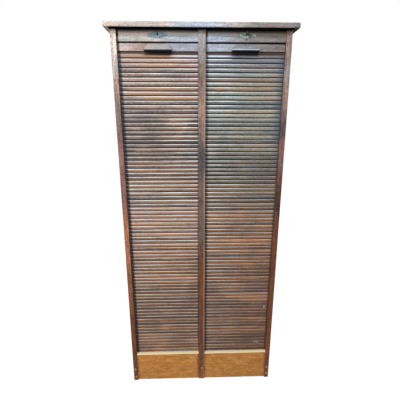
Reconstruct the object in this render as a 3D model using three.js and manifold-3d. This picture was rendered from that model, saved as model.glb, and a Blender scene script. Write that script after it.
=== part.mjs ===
import * as THREE from 'three';
import { mergeGeometries, mergeVertices } from 'three/addons/utils/BufferGeometryUtils.js';
import Module from 'manifold-3d';

// A two-bay roll-front filing cabinet, in millimetres: +Z up, front towards -Y, origin on the floor under the middle.

// Case
const caseWidth = 700;
const caseHeight = 1641;
const caseDepth = 400;
const sideThickness = 22;
const partitionThickness = 29;
const boardRound = 1.6;
const topThickness = 19;
const topSideOverhang = 20;
const topFrontOverhang = 29;
const topEdgeRound = 4;
const topCornerRadius = 7;
const seatGap = 0.3;
const cutOverrun = 2;

// Plinth, floor and shelves
const plinthTop = 159;
const plinthThickness = 18;
const plinthFloorGap = 4;
const plinthRound = 2;
const shelfCount = 4;
const shelfThickness = 16;
const shelfSetback = 36;
const shelfEdgeRound = 1.5;
const housingDepth = 6;

// Back: an inner back behind the shelves, the curtain's return run, then the outer back
const outerBackThickness = 6;
const outerBackRebate = 10;
const outerBackLift = 6;
const innerBackThickness = 8;
const returnRunClearance = 9.4;

// Curtain: slats glued across a canvas
const slatPitch = 17.5;
const hiddenSlats = 4;
const panelCount = 11;
const slatHeight = 16.4;
const slatThickness = 8;
const slatCrown = 2.8;
const slatCrownPower = 3.4;
const slatCrownSteps = 4;
const slatEndRun = 8;
const canvasThickness = 0.8;
const canvasBond = 0.2;
const canvasEndMargin = 14;
const curtainSetback = 19.5;

// Track that the slat ends run in
const trackDepth = 8.8;
const trackClearance = 0.8;
const trackBendRadius = 60;
const trackFloorHeight = 20;
const trackBendSteps = 10;
const backTrackInset = 17.5;
const trackSpareRun = 60;

// Lock rail above each curtain
const lockRailHeight = 41.5;
const lockRailThickness = 20;
const lockRailSetback = 13;

// Lead rail at the head of each curtain
const leadRailGap = 3.5;
const leadRailHeight = 30;
const leadRailProud = 3.5;
const leadRailSideClearance = 1.2;
const leadStripHeight = 5.4;
const leadStripRecess = 1;
const leadStripGroove = 1.2;
const leadStripGrooveDepth = 4;

// Pull on the lead rail
const pullTopWidth = 82;
const pullBottomWidth = 106;
const pullHeight = 24;
const pullProjection = 23;
const pullTopDepth = 7;
const pullLip = 4.5;
const pullWall = 4;
const pullEndWall = 8;
const pullRoof = 9;
const pullHollowSteps = 8;

// Lock, escutcheon and key
const lockCaseWidth = 60;
const lockCaseHeight = 37;
const lockCaseWall = 1.5;
const lockCaseSetback = 20;
const keyholeHeight = 28.5;
const keyholeRadius = 3.5;
const keyholeSlotWidth = 3.2;
const keyholeSlotDrop = 9.4;
const lockChamberRadius = 9.5;
const boltWidth = 18;
const boltThickness = 3;
const boltLength = 17;
const boltThrow = 8;
const boltClearance = 0.3;
const strikeWidth = 44;
const strikeDepth = 9;
const strikeThickness = 1.2;
const strikeCornerRadius = 2;
const escutcheonWidth = 76;
const escutcheonHeight = 24;
const escutcheonThickness = 2;
const escutcheonBevel = 0.6;
const escutcheonAboveKeyhole = 7.6;
const keyBarrelRadius = 3.1;
const keyBitReach = 8;
const keyBitLength = 7;
const keyBitThickness = 2;
const keyTipSetback = 30;
const keyBowSetback = -10;
const keyBowHalfLength = 8;
const keyBowHalfHeight = 9;
const keyEyeHalfLength = 4.4;
const keyEyeHalfHeight = 4.5;
const keyBowThickness = 2.2;
const keyCollarRadius = 4.2;
const keyCollarLength = 3;
const ringRadius = 9;
const ringWireRadius = 0.7;
const ringHangGap = 0.5;
const spareBowRadius = 5.5;
const spareEyeRadius = 2.6;
const spareLength = 22;
const spareThickness = 1.8;
const spareShankWidth = 2.6;
const spareBitReach = 5;
const spareBitLength = 5;

// Round forms
const cornerSteps = 3;
const roundSteps = 20;
const ringSteps = 28;
const wireSteps = 6;

// Places that follow from the sizes
const front = topFrontOverhang - (caseDepth + topFrontOverhang) / 2;
const back = front + caseDepth;
const bayWidth = (caseWidth - 2 * sideThickness - partitionThickness) / 2;
const bayCentre = (partitionThickness + bayWidth) / 2;
const slatLength = bayWidth + 2 * slatEndRun;
const curtainFront = front + curtainSetback;
const curtainThickness = slatThickness + canvasThickness - canvasBond;
const curtainBack = curtainFront + curtainThickness;
const trackWidth = curtainThickness + 2 * trackClearance;
const frontTrack = curtainFront + curtainThickness / 2;
const backTrack = back - backTrackInset;
const bendTop = trackFloorHeight + trackBendRadius;
const lockRailBottom = caseHeight - lockRailHeight;
const lockRailFront = front + lockRailSetback;
const leadTop = lockRailBottom - leadRailGap;
const leadBottom = leadTop - leadRailHeight;
const leadFront = curtainFront - leadRailProud;
const curtainTop = leadBottom - leadStripGroove - leadStripHeight - (slatPitch - slatHeight) / 2;
const slatCount = Math.ceil((curtainTop - plinthTop) / slatPitch) + hiddenSlats;
const slatsPerPanel = Math.ceil(slatCount / panelCount);
const curtainLength = slatCount * slatPitch;
const innerBackFront = backTrack - trackWidth / 2 - returnRunClearance - innerBackThickness;
const floorBoardBottom = plinthTop - shelfThickness;
const shelfFront = front + shelfSetback;
const shelfBack = innerBackFront - seatGap;
const shelfSpace = (caseHeight - plinthTop - shelfCount * shelfThickness) / (shelfCount + 1);
const keyholeZ = lockRailBottom + keyholeHeight;

// How far up the back an open curtain reaches
const trackFlatRun = backTrack - frontTrack - 2 * trackBendRadius;
const openCurtainRun = (plinthTop - bendTop) + Math.PI * trackBendRadius + trackFlatRun;
const backRunTop = bendTop + curtainLength - openCurtainRun + trackSpareRun;

const oak = new THREE.MeshStandardMaterial({ color: 0x6b4430, roughness: 0.45, metalness: 0 });
const slatOak = new THREE.MeshStandardMaterial({ color: 0x70492f, roughness: 0.4, metalness: 0 });
const honeyOak = new THREE.MeshStandardMaterial({ color: 0xb47a3c, roughness: 0.5, metalness: 0 });
const shelfWood = new THREE.MeshStandardMaterial({ color: 0xa9784a, roughness: 0.6, metalness: 0 });
const patina = new THREE.MeshStandardMaterial({ color: 0x6f8f8a, roughness: 0.55, metalness: 0.6 });
const lockBrass = new THREE.MeshStandardMaterial({ color: 0x9c7f45, roughness: 0.45, metalness: 0.9 });
const iron = new THREE.MeshStandardMaterial({ color: 0x4a4642, roughness: 0.5, metalness: 0.9 });

const wasm = await Module();
wasm.setup();

function solidOf(geometry) {
  const bare = geometry.clone();
  bare.deleteAttribute('normal');
  bare.deleteAttribute('uv');
  const merged = mergeVertices(bare);
  return new wasm.Manifold(new wasm.Mesh({
    numProp: 3,
    vertProperties: Float32Array.from(merged.attributes.position.array),
    triVerts: Uint32Array.from(merged.index.array),
  }));
}

function geometryOf(solid) {
  const mesh = solid.getMesh();
  const geometry = new THREE.BufferGeometry();
  geometry.setAttribute('position', new THREE.BufferAttribute(mesh.vertProperties, 3));
  geometry.setIndex(new THREE.BufferAttribute(mesh.triVerts, 1));
  return geometry;
}

function cut(geometry, cutters) {
  let solid = solidOf(geometry);
  for (const cutter of cutters) solid = solid.subtract(solidOf(cutter));
  return geometryOf(solid);
}

function join(geometries) {
  let solid = solidOf(geometries[0]);
  for (const other of geometries.slice(1)) solid = solid.add(solidOf(other));
  return geometryOf(solid);
}

function block([x0, x1], [y0, y1], [z0, z1]) {
  const geometry = new THREE.BoxGeometry(x1 - x0, y1 - y0, z1 - z0);
  return geometry.translate((x0 + x1) / 2, (y0 + y1) / 2, (z0 + z1) / 2);
}

// A profile drawn as (y, z), run along X
function alongX(shape, x0, x1) {
  const geometry = new THREE.ExtrudeGeometry(shape, { depth: x1 - x0, bevelEnabled: false, curveSegments: cornerSteps });
  const axes = new THREE.Matrix4().makeBasis(
    new THREE.Vector3(0, 1, 0), new THREE.Vector3(0, 0, 1), new THREE.Vector3(1, 0, 0));
  return geometry.applyMatrix4(axes).translate(x0, 0, 0);
}

// A profile drawn as (x, z), run from yFront towards the back
function alongY(shape, yFront, depth, steps = cornerSteps) {
  const geometry = new THREE.ExtrudeGeometry(shape, { depth, bevelEnabled: false, curveSegments: steps });
  return geometry.rotateX(Math.PI / 2).translate(0, yFront + depth, 0);
}

// A plan drawn as (x, y), run upwards
function alongZ(shape, z0, z1) {
  const geometry = new THREE.ExtrudeGeometry(shape, { depth: z1 - z0, bevelEnabled: false, curveSegments: cornerSteps });
  return geometry.translate(0, 0, z0);
}

function rod(radius, yFront, length, z) {
  return new THREE.CylinderGeometry(radius, radius, length, roundSteps).translate(0, yFront + length / 2, z);
}

function outline(points) {
  return new THREE.Shape(points.map(([u, v]) => new THREE.Vector2(u, v)));
}

// A rectangle whose corners are rounded where the radius list (clockwise from low u, low v) is over zero
function roundedRect([u0, u1], [v0, v1], [r00, r01, r11, r10]) {
  const shape = new THREE.Shape();
  shape.moveTo(u0, v0 + r00);
  shape.lineTo(u0, v1 - r01);
  if (r01) shape.absarc(u0 + r01, v1 - r01, r01, Math.PI, Math.PI / 2, true);
  shape.lineTo(u1 - r11, v1);
  if (r11) shape.absarc(u1 - r11, v1 - r11, r11, Math.PI / 2, 0, true);
  shape.lineTo(u1, v0 + r10);
  if (r10) shape.absarc(u1 - r10, v0 + r10, r10, 0, -Math.PI / 2, true);
  shape.lineTo(u0 + r00, v0);
  if (r00) shape.absarc(u0 + r00, v0 + r00, r00, -Math.PI / 2, -Math.PI, true);
  return shape;
}

function named(name, geometry, material) {
  const mesh = new THREE.Mesh(geometry, material.clone());
  mesh.name = name;
  return mesh;
}

// The curtain's path seen from the side: down the front, round a bend at the foot, under the floor board and
// up behind the inner back. The front run also goes straight on to the foot, where the curtain is fed in.
function returnTrack() {
  const halfWidth = trackWidth / 2;
  const outside = [];
  const inside = [];
  function addPoint(y, z, angle) {
    const [ny, nz] = [Math.cos(angle), Math.sin(angle)];
    outside.push([y + ny * halfWidth, z + nz * halfWidth]);
    inside.unshift([y - ny * halfWidth, z - nz * halfWidth]);
  }
  function addBend(centreY, startAngle) {
    for (let i = 0; i <= trackBendSteps; i += 1) {
      const angle = startAngle + (i / trackBendSteps) * (Math.PI / 2);
      addPoint(centreY + Math.cos(angle) * trackBendRadius, bendTop + Math.sin(angle) * trackBendRadius, angle);
    }
  }
  addBend(frontTrack + trackBendRadius, Math.PI);
  addBend(backTrack - trackBendRadius, 1.5 * Math.PI);
  addPoint(backTrack, backRunTop, 2 * Math.PI);
  return outline([...outside, ...inside]);
}

// Everything that is cut into the face of a side board or of the partition. The face lies at x, and the
// board's material lies towards the direction of inward, which is 1 or -1.
function faceCuts(x, inward) {
  const span = (depth) => [x - inward * cutOverrun, x + inward * depth].sort((a, b) => a - b);
  const cuts = [
    alongX(returnTrack(), ...span(trackDepth)),
    block(span(trackDepth), [frontTrack - trackWidth / 2, frontTrack + trackWidth / 2], [-cutOverrun, lockRailBottom]),
    block(span(housingDepth), [innerBackFront - seatGap, innerBackFront + innerBackThickness + seatGap],
      [floorBoardBottom - seatGap, caseHeight + cutOverrun]),
  ];
  for (const z of [floorBoardBottom, ...shelfHeights()]) {
    cuts.push(block(span(housingDepth), [shelfFront - seatGap, innerBackFront],
      [z - seatGap, z + shelfThickness + seatGap]));
  }
  return cuts;
}

function shelfHeights() {
  const heights = [];
  for (let i = 0; i < shelfCount; i += 1) heights.push(plinthTop + shelfSpace + i * (shelfSpace + shelfThickness));
  return heights;
}

function sideBoard(side) {
  const inner = caseWidth / 2 - sideThickness;
  const plan = roundedRect([inner, caseWidth / 2], [front, back], [boardRound, 0, 0, boardRound]);
  const board = alongZ(plan, 0, caseHeight);
  const rebate = block([inner - cutOverrun, inner + outerBackRebate],
    [back - outerBackThickness - seatGap, back + cutOverrun], [-cutOverrun, caseHeight + cutOverrun]);
  const right = cut(board, [...faceCuts(inner, 1), rebate]);
  if (side > 0) return right;
  return geometryOf(solidOf(right).mirror([1, 0, 0]));
}

function partition() {
  const half = partitionThickness / 2;
  const rear = back - outerBackThickness - seatGap;
  const plan = roundedRect([-half, half], [front, rear], [boardRound, 0, 0, boardRound]);
  return cut(alongZ(plan, 0, caseHeight), [...faceCuts(half, -1), ...faceCuts(-half, 1)]);
}

function topBoard() {
  const half = caseWidth / 2 + topSideOverhang - topEdgeRound;
  const plan = roundedRect([-half, half], [front - topFrontOverhang + topEdgeRound, back - topEdgeRound],
    [topCornerRadius, topCornerRadius, topCornerRadius, topCornerRadius]);
  const geometry = new THREE.ExtrudeGeometry(plan, {
    depth: topThickness - 2 * topEdgeRound,
    bevelThickness: topEdgeRound,
    bevelSize: topEdgeRound,
    bevelSegments: cornerSteps,
    curveSegments: cornerSteps,
  });
  return geometry.translate(0, 0, caseHeight + topEdgeRound);
}

function plinth() {
  const half = bayWidth / 2 - seatGap;
  const profile = roundedRect([front, front + plinthThickness], [plinthFloorGap, plinthTop],
    [0, plinthRound, plinthRound, 0]);
  return alongX(profile, -half, half);
}

// Shelves and floor boards are alike: housed at both ends, with a rounded front edge
function shelf() {
  const half = bayWidth / 2 + housingDepth - seatGap;
  const profile = roundedRect([shelfFront, shelfBack], [0, shelfThickness], [shelfEdgeRound, shelfEdgeRound, 0, 0]);
  return alongX(profile, -half, half);
}

function innerBack() {
  const half = bayWidth / 2 + housingDepth - seatGap;
  return block([-half, half], [innerBackFront, innerBackFront + innerBackThickness], [floorBoardBottom, caseHeight]);
}

// The outer back of one bay, from the rebate in the side board to the middle of the partition
function outerBack(side) {
  const nearMiddle = seatGap - bayCentre;
  const nearSide = bayWidth / 2 + outerBackRebate - seatGap;
  const span = side > 0 ? [nearMiddle, nearSide] : [-nearSide, -nearMiddle];
  return block(span, [back - outerBackThickness, back], [outerBackLift, caseHeight]);
}

// One slat's section: flat at the back, with a crowned front and rounded shoulders
function slatSection(zMiddle) {
  const points = [[curtainFront + slatThickness, zMiddle - slatHeight / 2]];
  for (let i = 0; i <= slatCrownSteps; i += 1) {
    const angle = Math.PI * (i / slatCrownSteps) - Math.PI / 2;
    const rise = Math.sign(Math.sin(angle)) * Math.abs(Math.sin(angle)) ** (2 / slatCrownPower);
    const bulge = Math.abs(Math.cos(angle)) ** (2 / slatCrownPower);
    points.push([curtainFront + slatCrown * (1 - bulge), zMiddle + rise * slatHeight / 2]);
  }
  points.push([curtainFront + slatThickness, zMiddle + slatHeight / 2]);
  return outline(points);
}

// A length of curtain that hangs down from z = 0: its slats lie across a canvas that stops short of their ends
function curtainPanel(slats) {
  const pieces = [];
  for (let i = 0; i < slats; i += 1) {
    pieces.push(alongX(slatSection(-(i + 1 / 2) * slatPitch), -slatLength / 2, slatLength / 2));
  }
  const canvasHalf = slatLength / 2 - canvasEndMargin;
  const canvasFront = curtainFront + slatThickness - canvasBond;
  const canvas = block([-canvasHalf, canvasHalf], [canvasFront, canvasFront + canvasThickness],
    [seatGap / 2 - slats * slatPitch, -seatGap / 2]);
  return join([mergeGeometries(pieces), canvas]);
}

// The keyhole as a cutter: a round hole with a slot below it, between two depths
function keyhole(yFront, depth) {
  const z0 = keyholeZ - keyholeSlotDrop;
  const slot = block([-keyholeSlotWidth / 2, keyholeSlotWidth / 2], [yFront, yFront + depth], [z0, keyholeZ]);
  return join([rod(keyholeRadius, yFront, depth, keyholeZ), slot]);
}

function lockRail() {
  const half = bayWidth / 2 - seatGap;
  const profile = roundedRect([lockRailFront, lockRailFront + lockRailThickness], [lockRailBottom, caseHeight],
    [boardRound, 0, 0, 0]);
  const pocketHalf = lockCaseWidth / 2 + seatGap;
  const pocket = block([-pocketHalf, pocketHalf],
    [front + lockCaseSetback - seatGap, lockRailFront + lockRailThickness + cutOverrun],
    [lockRailBottom - cutOverrun, lockRailBottom + lockCaseHeight + seatGap]);
  const hole = keyhole(lockRailFront - cutOverrun, lockRailThickness);
  return cut(alongX(profile, -half, half), [pocket, hole]);
}

// The lock lies in a pocket in the back of the lock rail and throws its bolt down
function lockCase() {
  const y0 = front + lockCaseSetback;
  const y1 = lockRailFront + lockRailThickness;
  const body = block([-lockCaseWidth / 2, lockCaseWidth / 2], [y0, y1], [lockRailBottom, lockRailBottom + lockCaseHeight]);
  const chamberDepth = y1 - y0 - 2 * lockCaseWall;
  const chamber = rod(lockChamberRadius, y0 + lockCaseWall, chamberDepth, keyholeZ);
  const channelHalf = boltWidth / 2 + boltClearance;
  const channel = block([-channelHalf, channelHalf],
    [frontTrack - boltThickness / 2 - boltClearance, frontTrack + boltThickness / 2 + boltClearance],
    [lockRailBottom - cutOverrun, keyholeZ]);
  return cut(body, [chamber, channel, keyhole(y0 - cutOverrun, cutOverrun + 2 * lockCaseWall)]);
}

function lockBolt() {
  const half = boltWidth / 2;
  const profile = roundedRect([-half, half], [lockRailBottom + seatGap, lockRailBottom + seatGap + boltLength],
    [boardRound, 0, 0, boardRound]);
  return alongY(profile, frontTrack - boltThickness / 2, boltThickness);
}

function boltSlot(bottom) {
  const halfX = boltWidth / 2 + 2 * boltClearance;
  const halfY = boltThickness / 2 + 2 * boltClearance;
  return block([-halfX, halfX], [frontTrack - halfY, frontTrack + halfY], [bottom, leadTop + cutOverrun]);
}

// The lead rail: a thick face between the stiles, tongues in the tracks, and a narrow strip along its foot
function leadRail() {
  const faceHalf = bayWidth / 2 - leadRailSideClearance;
  const face = alongX(roundedRect([leadFront, curtainFront + canvasBond], [leadBottom, leadTop],
    [boardRound, boardRound, 0, 0]), -faceHalf, faceHalf);
  const stripTop = leadBottom - leadStripGroove;
  const stripBottom = stripTop - leadStripHeight;
  const stripFront = curtainFront + leadStripRecess;
  const tongue = alongX(outline([
    [curtainFront, leadTop],
    [curtainBack, leadTop],
    [curtainBack, stripBottom],
    [stripFront, stripBottom],
    [stripFront, stripTop],
    [curtainFront + leadStripGrooveDepth, stripTop],
    [curtainFront + leadStripGrooveDepth, leadBottom],
    [curtainFront, leadBottom],
  ]), -slatLength / 2, slatLength / 2);
  const plateHalf = strikeWidth / 2 + seatGap;
  const plateRecess = alongZ(roundedRect([-plateHalf, plateHalf],
    [frontTrack - strikeDepth / 2 - seatGap, frontTrack + strikeDepth / 2 + seatGap],
    [strikeCornerRadius, strikeCornerRadius, strikeCornerRadius, strikeCornerRadius]),
  leadTop - strikeThickness, leadTop + cutOverrun);
  const mortise = boltSlot(leadTop - boltThrow - cutOverrun);
  return cut(join([face, tongue]), [plateRecess, mortise]);
}

function strikePlate() {
  const plan = roundedRect([-strikeWidth / 2, strikeWidth / 2],
    [frontTrack - strikeDepth / 2, frontTrack + strikeDepth / 2],
    [strikeCornerRadius, strikeCornerRadius, strikeCornerRadius, strikeCornerRadius]);
  return cut(alongZ(plan, leadTop - strikeThickness, leadTop), [boltSlot(leadTop - 2 * strikeThickness)]);
}

// A hipped block on a lip, hollowed from below for the fingers
function pull() {
  const rings = [
    { z: leadBottom, half: pullBottomWidth / 2, reach: pullProjection },
    { z: leadBottom + pullLip, half: pullBottomWidth / 2, reach: pullProjection },
    { z: leadBottom + pullHeight, half: pullTopWidth / 2, reach: pullTopDepth },
  ];
  const positions = [];
  for (const { z, half, reach } of rings) {
    positions.push(-half, leadFront, z, -half, leadFront - reach, z, half, leadFront - reach, z, half, leadFront, z);
  }
  const index = [0, 2, 1, 0, 3, 2];
  const lastRing = 4 * (rings.length - 1);
  for (let ring = 0; ring < lastRing; ring += 4) {
    for (let i = 0; i < 4; i += 1) {
      const [a, b] = [ring + i, ring + ((i + 1) % 4)];
      index.push(a, b, b + 4, a, b + 4, a + 4);
    }
  }
  index.push(lastRing, lastRing + 1, lastRing + 2, lastRing, lastRing + 2, lastRing + 3);
  const body = new THREE.BufferGeometry();
  body.setAttribute('position', new THREE.Float32BufferAttribute(positions, 3));
  body.setIndex(index);
  const hollowLength = pullBottomWidth / 2 - pullEndWall;
  const hollowFront = leadFront - pullProjection + pullWall;
  const hollow = new THREE.Shape();
  hollow.moveTo(hollowFront, leadBottom - cutOverrun);
  hollow.lineTo(hollowFront, leadBottom + pullLip);
  hollow.quadraticCurveTo(hollowFront + pullWall, leadBottom + pullHeight - pullRoof,
    leadFront + cutOverrun, leadBottom + pullHeight - pullRoof);
  hollow.lineTo(leadFront + cutOverrun, leadBottom - cutOverrun);
  const hollowGeometry = new THREE.ExtrudeGeometry(hollow, {
    depth: 2 * hollowLength, bevelEnabled: false, curveSegments: pullHollowSteps,
  });
  const axes = new THREE.Matrix4().makeBasis(
    new THREE.Vector3(0, 1, 0), new THREE.Vector3(0, 0, 1), new THREE.Vector3(1, 0, 0));
  hollowGeometry.applyMatrix4(axes).translate(-hollowLength, 0, 0);
  return cut(body, [hollowGeometry]);
}

// The escutcheon's right edge, from its top peak to its bottom point, as shares of half its width and height
const escutcheonEdgeShares = [
  { to: [0.34, 0.8], bend: [0.16, 0.8] },
  { to: [0.62, 0.6], bend: [0.54, 0.8] },
  { to: [0.74, 0.42], bend: [0.64, 0.42] },
  { to: [1, 0], bend: [1, 0.44] },
  { to: [0.76, -0.4], bend: [1, -0.42] },
  { to: [0.46, -0.58], bend: [0.58, -0.4] },
  { to: [0, -1], bend: [0.2, -0.8] },
];

function escutcheon() {
  const halfWidth = escutcheonWidth / 2 - escutcheonBevel;
  const halfHeight = escutcheonHeight / 2 - escutcheonBevel;
  const middle = keyholeZ + escutcheonAboveKeyhole - escutcheonHeight / 2;
  const place = ([u, v], side) => [side * u * halfWidth, middle + v * halfHeight];
  const edge = new THREE.Shape();
  edge.moveTo(...place([0, 1], 1));
  for (const { to, bend } of escutcheonEdgeShares) edge.quadraticCurveTo(...place(bend, 1), ...place(to, 1));
  const starts = [[0, 1], ...escutcheonEdgeShares.map(({ to }) => to)];
  for (let i = escutcheonEdgeShares.length - 1; i >= 0; i -= 1) {
    edge.quadraticCurveTo(...place(escutcheonEdgeShares[i].bend, -1), ...place(starts[i], -1));
  }
  const plate = new THREE.ExtrudeGeometry(edge, {
    depth: escutcheonThickness - escutcheonBevel,
    bevelThickness: escutcheonBevel,
    bevelSize: escutcheonBevel,
    bevelSegments: 1,
    curveSegments: cornerSteps,
  });
  const lowered = plate.rotateX(Math.PI / 2).translate(0, lockRailFront, 0);
  const behind = block([-escutcheonWidth, escutcheonWidth], [lockRailFront, lockRailFront + escutcheonThickness],
    [middle - escutcheonHeight, middle + escutcheonHeight]);
  const hole = keyhole(lockRailFront - 2 * escutcheonThickness, 2 * escutcheonThickness + cutOverrun);
  return cut(lowered, [behind, hole]);
}

function ellipse(y, z, halfLength, halfHeight) {
  const shape = new THREE.Shape();
  shape.absellipse(y, z, halfLength, halfHeight, 0, 2 * Math.PI, false, 0);
  return outline(shape.getPoints(roundSteps).slice(0, -1).map(({ x, y: v }) => [x, v]));
}

function key() {
  const bowY = front + keyBowSetback;
  const tip = front + keyTipSetback;
  const half = keyBowThickness / 2;
  const bow = alongX(ellipse(bowY, keyholeZ, keyBowHalfLength, keyBowHalfHeight), -half, half);
  const eye = alongX(ellipse(bowY, keyholeZ, keyEyeHalfLength, keyEyeHalfHeight), -cutOverrun, cutOverrun);
  const barrelFront = bowY + (keyEyeHalfLength + keyBowHalfLength) / 2;
  const barrel = rod(keyBarrelRadius, barrelFront, tip - barrelFront, keyholeZ);
  const collar = rod(keyCollarRadius, bowY + keyBowHalfLength, keyCollarLength, keyholeZ);
  const bit = block([-keyBitThickness / 2, keyBitThickness / 2], [tip - keyBitLength - seatGap, tip - seatGap],
    [keyholeZ - keyBitReach, keyholeZ]);
  return cut(join([bow, barrel, collar, bit]), [eye]);
}

// The ring hangs over the lower rim of the key's bow
const bowRimZ = keyholeZ - (keyEyeHalfHeight + keyBowHalfHeight) / 2;
const ringZ = bowRimZ - (ringRadius - ringWireRadius - (keyBowHalfHeight - keyEyeHalfHeight) / 2 - ringHangGap);

function splitRing() {
  const ring = new THREE.TorusGeometry(ringRadius, ringWireRadius, wireSteps, ringSteps);
  return ring.rotateX(Math.PI / 2).translate(0, front + keyBowSetback, ringZ);
}

function spareKey() {
  const y = front + keyBowSetback;
  const half = spareThickness / 2;
  const bowZ = ringZ - ringRadius - (spareEyeRadius - ringWireRadius - seatGap);
  const bow = alongX(ellipse(y, bowZ, spareBowRadius, spareBowRadius), -half, half);
  const eye = alongX(ellipse(y, bowZ, spareEyeRadius, spareEyeRadius), -cutOverrun, cutOverrun);
  const foot = bowZ - spareLength + spareBowRadius;
  const shank = block([-half, half], [y - spareShankWidth / 2, y + spareShankWidth / 2], [foot, bowZ]);
  const bit = block([-half, half], [y, y + spareBitReach], [foot, foot + spareBitLength]);
  return cut(join([bow, shank, bit]), [eye]);
}

function panelName(side, number) {
  return `curtain_${side}_${String(number).padStart(2, '0')}`;
}

// A curtain in whole panels, with what is left over as a short last one
function curtain(sideName) {
  const group = new THREE.Group();
  const fullPanel = curtainPanel(slatsPerPanel);
  let left = slatCount;
  for (let number = 1; left > 0; number += 1) {
    const slats = Math.min(slatsPerPanel, left);
    const geometry = slats === slatsPerPanel ? fullPanel.clone() : curtainPanel(slats);
    const panel = named(panelName(sideName, number), geometry, slatOak);
    panel.position.z = curtainTop - (slatCount - left) * slatPitch;
    group.add(panel);
    left -= slats;
  }
  return group;
}

function bay(side) {
  const sideName = side < 0 ? 'left' : 'right';
  const group = new THREE.Group();
  group.position.x = side * bayCentre;
  group.add(named(`plinth_${sideName}`, plinth(), honeyOak));
  group.add(named(`inner_back_${sideName}`, innerBack(), shelfWood));
  group.add(named(`back_panel_${sideName}`, outerBack(side), shelfWood));
  const floorBoard = named(`floor_board_${sideName}`, shelf(), shelfWood);
  floorBoard.position.z = floorBoardBottom;
  group.add(floorBoard);
  shelfHeights().forEach((z, i) => {
    const board = named(`shelf_${sideName}_${i + 1}`, shelf(), shelfWood);
    board.position.z = z;
    group.add(board);
  });
  group.add(named(`lock_rail_${sideName}`, lockRail(), oak));
  group.add(named(`lock_case_${sideName}`, lockCase(), iron));
  group.add(named(`lock_bolt_${sideName}`, lockBolt(), lockBrass));
  group.add(named(`escutcheon_${sideName}`, escutcheon(), patina));
  group.add(named(`lead_rail_${sideName}`, leadRail(), oak));
  group.add(named(`strike_plate_${sideName}`, strikePlate(), lockBrass));
  group.add(named(`pull_${sideName}`, pull(), oak));
  group.add(curtain(sideName));
  return group;
}

function keys() {
  const group = new THREE.Group();
  group.position.x = bayCentre;
  group.add(named('key', key(), iron));
  group.add(named('split_ring', splitRing(), iron));
  group.add(named('spare_key', spareKey(), iron));
  return group;
}

const cabinet = new THREE.Group();
cabinet.add(named('side_board_left', sideBoard(-1), oak));
cabinet.add(named('side_board_right', sideBoard(1), oak));
cabinet.add(named('centre_partition', partition(), oak));
cabinet.add(named('top_board', topBoard(), oak));
cabinet.add(bay(-1));
cabinet.add(bay(1));
cabinet.add(keys());

export default cabinet;
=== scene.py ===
import math

import bmesh
import bpy
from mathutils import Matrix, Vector


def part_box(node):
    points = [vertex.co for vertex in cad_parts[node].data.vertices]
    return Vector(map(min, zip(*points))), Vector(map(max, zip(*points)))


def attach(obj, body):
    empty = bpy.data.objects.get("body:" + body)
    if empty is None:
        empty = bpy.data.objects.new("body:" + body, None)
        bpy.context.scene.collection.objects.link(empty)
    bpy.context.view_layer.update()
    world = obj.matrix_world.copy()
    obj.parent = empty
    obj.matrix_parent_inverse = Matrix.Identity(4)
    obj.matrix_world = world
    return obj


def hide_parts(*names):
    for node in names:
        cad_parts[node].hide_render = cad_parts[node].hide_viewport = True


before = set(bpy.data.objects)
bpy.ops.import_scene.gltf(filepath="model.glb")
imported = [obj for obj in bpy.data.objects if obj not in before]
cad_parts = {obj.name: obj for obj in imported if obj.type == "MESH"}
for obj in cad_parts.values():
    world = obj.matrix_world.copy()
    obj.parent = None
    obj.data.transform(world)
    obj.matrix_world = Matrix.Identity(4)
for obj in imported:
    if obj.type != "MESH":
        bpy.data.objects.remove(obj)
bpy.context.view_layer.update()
sides = ("left", "right")
print("frame loaded:", len(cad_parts), "nodes")


def linked(name, data):
    thing = bpy.data.objects.new(name, data)
    bpy.context.scene.collection.objects.link(thing)
    return thing


def aimed(name, data, place, way):
    thing = linked(name, data)
    thing.location, thing.rotation_mode = place, "QUATERNION"
    thing.rotation_quaternion = way.to_track_quat("-Z", "Y")
    return thing


# Camera at the photograph's viewing angle
viewpoint = dict(place=(-0.0444, -1.4564, 1.3134), yaw=0.0287, pitch=0.2651, lens=27.0, sensor=36.0,
                 clip=(0.02, 60))


def makeCamera():
    data = bpy.data.cameras.new("viewpoint")
    data.lens, data.sensor_width = viewpoint["lens"], viewpoint["sensor"]
    data.clip_start, data.clip_end = viewpoint["clip"]
    yaw, pitch = viewpoint["yaw"], viewpoint["pitch"]
    forward = Vector((math.sin(yaw) * math.cos(pitch), math.cos(yaw) * math.cos(pitch), -math.sin(pitch)))
    bpy.context.scene.camera = aimed("viewpoint", data, viewpoint["place"], forward)


makeCamera()

# Places on the cabinet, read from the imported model
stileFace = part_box("centre_partition")[0].y
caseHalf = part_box("side_board_right")[1].x
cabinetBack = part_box("back_panel_left")[1].y
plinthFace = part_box("plinth_left")[0].y
bayEdges = [corner.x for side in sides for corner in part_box(f"plinth_{side}")]
curtainFace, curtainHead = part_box("curtain_left_01")[0].y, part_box("curtain_left_01")[1].z
railFoot, railTop = (corner.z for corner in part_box("lock_rail_left"))
leadFoot, leadTop = (corner.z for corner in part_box("lead_rail_left"))
stripTop = leadFoot + 0.0054  # the narrow strip along the lead rail's foot
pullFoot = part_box("pull_left")[0].z
pullLeft, pullRight = (corner.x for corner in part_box("pull_right"))
pullMiddle, pullHalf = (pullLeft + pullRight) / 2, (pullRight - pullLeft) / 2


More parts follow.
